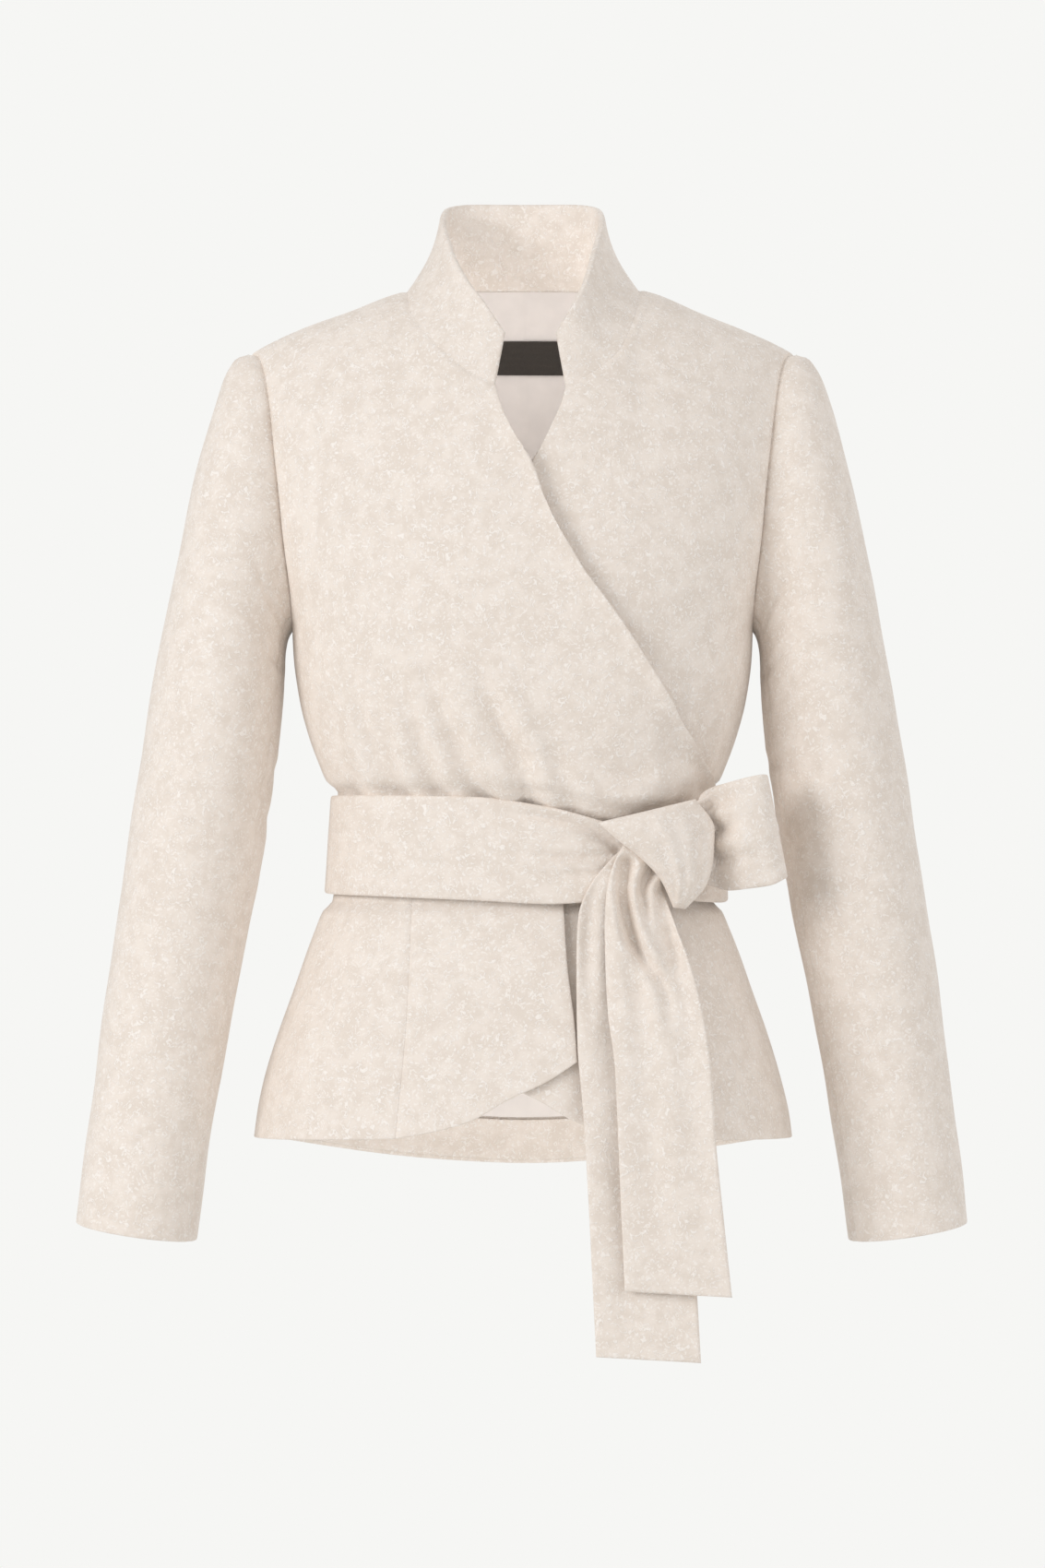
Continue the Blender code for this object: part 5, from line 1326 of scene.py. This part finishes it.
def satin():
    """Lining satin: pale, smooth, with a fine slanting twill."""
    colour = opaque(bpy.context.scene.jacket_look.lining_colour)
    made, tree, shader, coords = new_finish("pale_satin", colour, 0.42, 0.15, 0.3)
    twill = {"Vector": coords, "Scale": 900.0, "Distortion": 1.5}
    thread = node(tree, "ShaderNodeTexWave", twill, bands_direction="DIAGONAL")
    slub = speckle(tree, coords, 60.0, 3.0)
    shade = mixed(tree, ramp(tree, slub, 0.3, 0.7), colour, opaque(c * 0.95 for c in colour[:3]))
    height = maths(tree, "ADD", thread.outputs["Fac"], maths(tree, "MULTIPLY", slub, 3.0))
    roughen(tree, shader, shade, height, 0.25, 0.0003)
    return made


def woven():
    """The bare label: black ribbon with a close rib."""
    colour = opaque(bpy.context.scene.jacket_look.label_colour)
    made, tree, shader, coords = new_finish("black_ribbon", colour, 0.55, 0.2, 0.4)
    ribs = {"Vector": coords, "Scale": 420.0, "Distortion": 0.3}
    rib = node(tree, "ShaderNodeTexWave", ribs, bands_direction="Z").outputs["Fac"]
    flecks = maths(tree, "MULTIPLY", rib, speckle(tree, coords, 900.0, 2.0))
    shade = mixed(tree, flecks, colour, opaque(c * 2.0 for c in colour[:3]))
    roughen(tree, shader, shade, rib, 0.5, 0.0002)
    return made


# ---------------------------------------------------------------- studio
def build_lamp(lamp, look):
    bpy.ops.object.light_add(type="AREA", location=lamp.place)
    made = bpy.context.object
    made.name = lamp.name
    made.data.energy, made.data.size = getattr(look, lamp.power) * lamp.share, lamp.size
    made.visible_camera = False
    x, y, z = np.array(lamp.aim, float) - np.array(lamp.place, float)
    made.rotation_euler = (math.atan2(math.hypot(x, y), -z), 0, math.atan2(-x, y))


def build_sky(look):
    """The camera sees the pale backdrop; the cloth is lit by the same sky at its own strength."""
    world = bpy.data.worlds.new("studio")
    world.use_nodes = True
    bpy.context.scene.world = world
    tree = world.node_tree
    tree.nodes.clear()
    seen, lit = (
        node(tree, "ShaderNodeBackground", {"Color": colour, "Strength": strength}).outputs[0]
        for colour, strength in ((opaque(look.backdrop), 1.0), ((1.0, 0.995, 0.985, 1.0), look.sky_strength))
    )
    from_camera = node(tree, "ShaderNodeLightPath").outputs["Is Camera Ray"]
    both = node(tree, "ShaderNodeMixShader", {0: from_camera, 1: lit, 2: seen})
    out = node(tree, "ShaderNodeOutputWorld")
    tree.links.new(both.outputs[0], out.inputs["Surface"])


def build_floor(look):
    """A pale round floor below the picture, whose rim fades into the backdrop."""
    bpy.ops.object.select_all(action="DESELECT")
    spot = (0, 0, look.floor_height)
    bpy.ops.mesh.primitive_circle_add(
        vertices=128, radius=look.floor_radius, fill_type="NGON", location=spot)
    floor = bpy.context.object
    floor.name = "studio_floor"
    bpy.ops.object.transform_apply(location=True)
    made, tree, shader, coords = new_finish("floor_paint", opaque(look.backdrop), 0.9, 0.0, 0.5)
    flat = vectors(tree, "MULTIPLY", coords, (1, 1, 0))[0]
    reach = vectors(tree, "LENGTH", flat)["Value"]
    shown = ramp(tree, reach, look.floor_radius, look.floor_radius * 0.35)
    tree.links.new(shown, shader.inputs["Alpha"])
    floor.data.materials.append(made)


def build_camera(look):
    spot = (0, -CAMERA_AWAY, CAMERA_HEIGHT)
    bpy.ops.object.camera_add(location=spot, rotation=(math.pi / 2, 0, 0))
    camera = bpy.context.object
    camera.data.sensor_fit = "AUTO"
    camera.data.sensor_width = 36
    camera.data.lens = look.lens
    bpy.context.scene.camera = camera


# ---------------------------------------------------------------- add-on
def amount(name, description, default, low, high, unit="NONE"):
    return bpy.props.FloatProperty(
        name=name, description=description, default=default, min=low, max=high, unit=unit)


def colour_of(name, description, default):
    return bpy.props.FloatVectorProperty(
        name=name, description=description, default=default, min=0.0, max=1.0, subtype="COLOR")


class JacketLook(bpy.types.PropertyGroup):
    """Sizes and colours of the jacket's cloth and of its studio."""

    grid_step: amount(
        "Cloth spacing", "Distance between the fine lines of the cloth", 0.003, 0.0015, 0.01, "LENGTH")
    curl_size: amount("Curl size", "Size of the boucle's curly threads", 0.0046, 0.001, 0.02, "LENGTH")
    nap_height: amount("Nap height", "How far the threads stand up", 0.0006, 0.0, 0.004, "LENGTH")
    nap_strength: amount("Nap strength", "How strongly the nap shades the cloth", 0.45, 0.0, 1.0)
    wool_ground: colour_of("Wool ground", "Colour of the felted ground", (0.79, 0.705, 0.63))
    wool_pale: colour_of("Wool, paler", "Colour of the ground's paler clouds", (0.86, 0.78, 0.71))
    wool_curl: colour_of("Wool curls", "Colour of the curly threads", (0.94, 0.885, 0.835))
    lining_colour: colour_of("Lining", "Colour of the satin lining", (0.90, 0.84, 0.80))
    label_colour: colour_of("Label", "Colour of the bare label", (0.042, 0.036, 0.031))
    backdrop: colour_of("Backdrop", "Colour behind the jacket", (0.922, 0.922, 0.905))
    sky_strength: amount("Sky strength", "Soft light from all round", 0.60, 0.0, 5.0)
    key_power: amount("Key light", "Power of the large lamp left of the camera", 37.5, 0.0, 2000.0, "POWER")
    inner_power: amount(
        "Inner glow", "Power of the small lamps that light the lining at neck and hem", 0.075, 0.0, 20.0,
        "POWER")
    floor_height: amount("Floor height", "Height of the studio floor", -1.30, -10.0, 0.0, "LENGTH")
    floor_radius: amount("Floor radius", "Radius of the studio floor", 2.0, 0.5, 10.0, "LENGTH")
    lens: amount("Lens", "Focal length in millimetres", 97.7, 20.0, 300.0)


class ClothGroup:
    """What the operators of the cloth share: each runs its own builders."""

    def execute(self, context):
        for build in self.builders:
            build(context.scene.jacket_look.grid_step)
        return {"FINISHED"}


class JACKET_OT_fronts(ClothGroup, bpy.types.Operator):
    """Lay the two crossing fronts, with the waist pleats on the upper one"""

    bl_idname = "jacket.fronts"
    bl_label = "Fronts"
    builders = (build_fronts,)


class JACKET_OT_back(ClothGroup, bpy.types.Operator):
    """Lay the back"""

    bl_idname = "jacket.back"
    bl_label = "Back"
    builders = (build_back,)


class JACKET_OT_peplum(ClothGroup, bpy.types.Operator):
    """Lay the flared peplum, front, sides and back"""

    bl_idname = "jacket.peplum"
    bl_label = "Peplum"
    builders = (build_peplum,)


class JACKET_OT_lining(ClothGroup, bpy.types.Operator):
    """Hang the back lining, the hem facing and the bare label"""

    bl_idname = "jacket.lining"
    bl_label = "Lining, facing and label"
    builders = (build_lining,)


class JACKET_OT_collar(ClothGroup, bpy.types.Operator):
    """Stand the funnel collar on the neck seam"""

    bl_idname = "jacket.collar"
    bl_label = "Collar"
    builders = (build_collar,)


class JACKET_OT_sleeves(ClothGroup, bpy.types.Operator):
    """Set the two-piece sleeves"""

    bl_idname = "jacket.sleeves"
    bl_label = "Sleeves"
    builders = (build_sleeves,)


class JACKET_OT_belt(ClothGroup, bpy.types.Operator):
    """Draw the belt round the waist"""

    bl_idname = "jacket.belt"
    bl_label = "Belt"
    builders = (build_belt,)


class JACKET_OT_bow(ClothGroup, bpy.types.Operator):
    """Tie the half bow: its knot, its loop and its two tails"""

    bl_idname = "jacket.bow"
    bl_label = "Half bow"
    builders = (build_knot, build_loop, build_tails)


class JACKET_OT_studio(bpy.types.Operator):
    """Set up the floor, the soft lights, the pale sky and the camera"""

    bl_idname = "jacket.studio"
    bl_label = "Studio"

    def execute(self, context):
        look = context.scene.jacket_look
        context.scene.view_settings.view_transform = "Standard"
        build_sky(look)
        build_floor(look)
        for lamp in LAMPS:
            build_lamp(lamp, look)
        build_camera(look)
        return {"FINISHED"}


class JACKET_PT_panel(bpy.types.Panel):
    """The jacket's pieces and looks"""

    bl_label = "Wrap Jacket"
    bl_space_type = "VIEW_3D"
    bl_region_type = "UI"
    bl_category = "Jacket"

    def draw(self, context):
        for name in JacketLook.__annotations__:
            self.layout.prop(context.scene.jacket_look, name)
        for operator in PIECES:
            self.layout.operator(operator.bl_idname)


PIECES = (
    JACKET_OT_fronts,
    JACKET_OT_back,
    JACKET_OT_peplum,
    JACKET_OT_lining,
    JACKET_OT_collar,
    JACKET_OT_sleeves,
    JACKET_OT_belt,
    JACKET_OT_bow,
    JACKET_OT_studio,
)
CLASSES = (JacketLook,) + PIECES + (JACKET_PT_panel,)


def register():
    for kind in CLASSES:
        bpy.utils.register_class(kind)
    bpy.types.Scene.jacket_look = bpy.props.PointerProperty(type=JacketLook)


def unregister():
    del bpy.types.Scene.jacket_look
    for kind in reversed(CLASSES):
        bpy.utils.unregister_class(kind)


def main():
    register()
    bpy.ops.jacket.fronts()
    bpy.ops.jacket.back()
    bpy.ops.jacket.peplum()
    bpy.ops.jacket.lining()
    bpy.ops.jacket.collar()
    bpy.ops.jacket.sleeves()
    bpy.ops.jacket.belt()
    bpy.ops.jacket.bow()
    bpy.ops.jacket.studio()


if __name__ == "__main__":
    main()
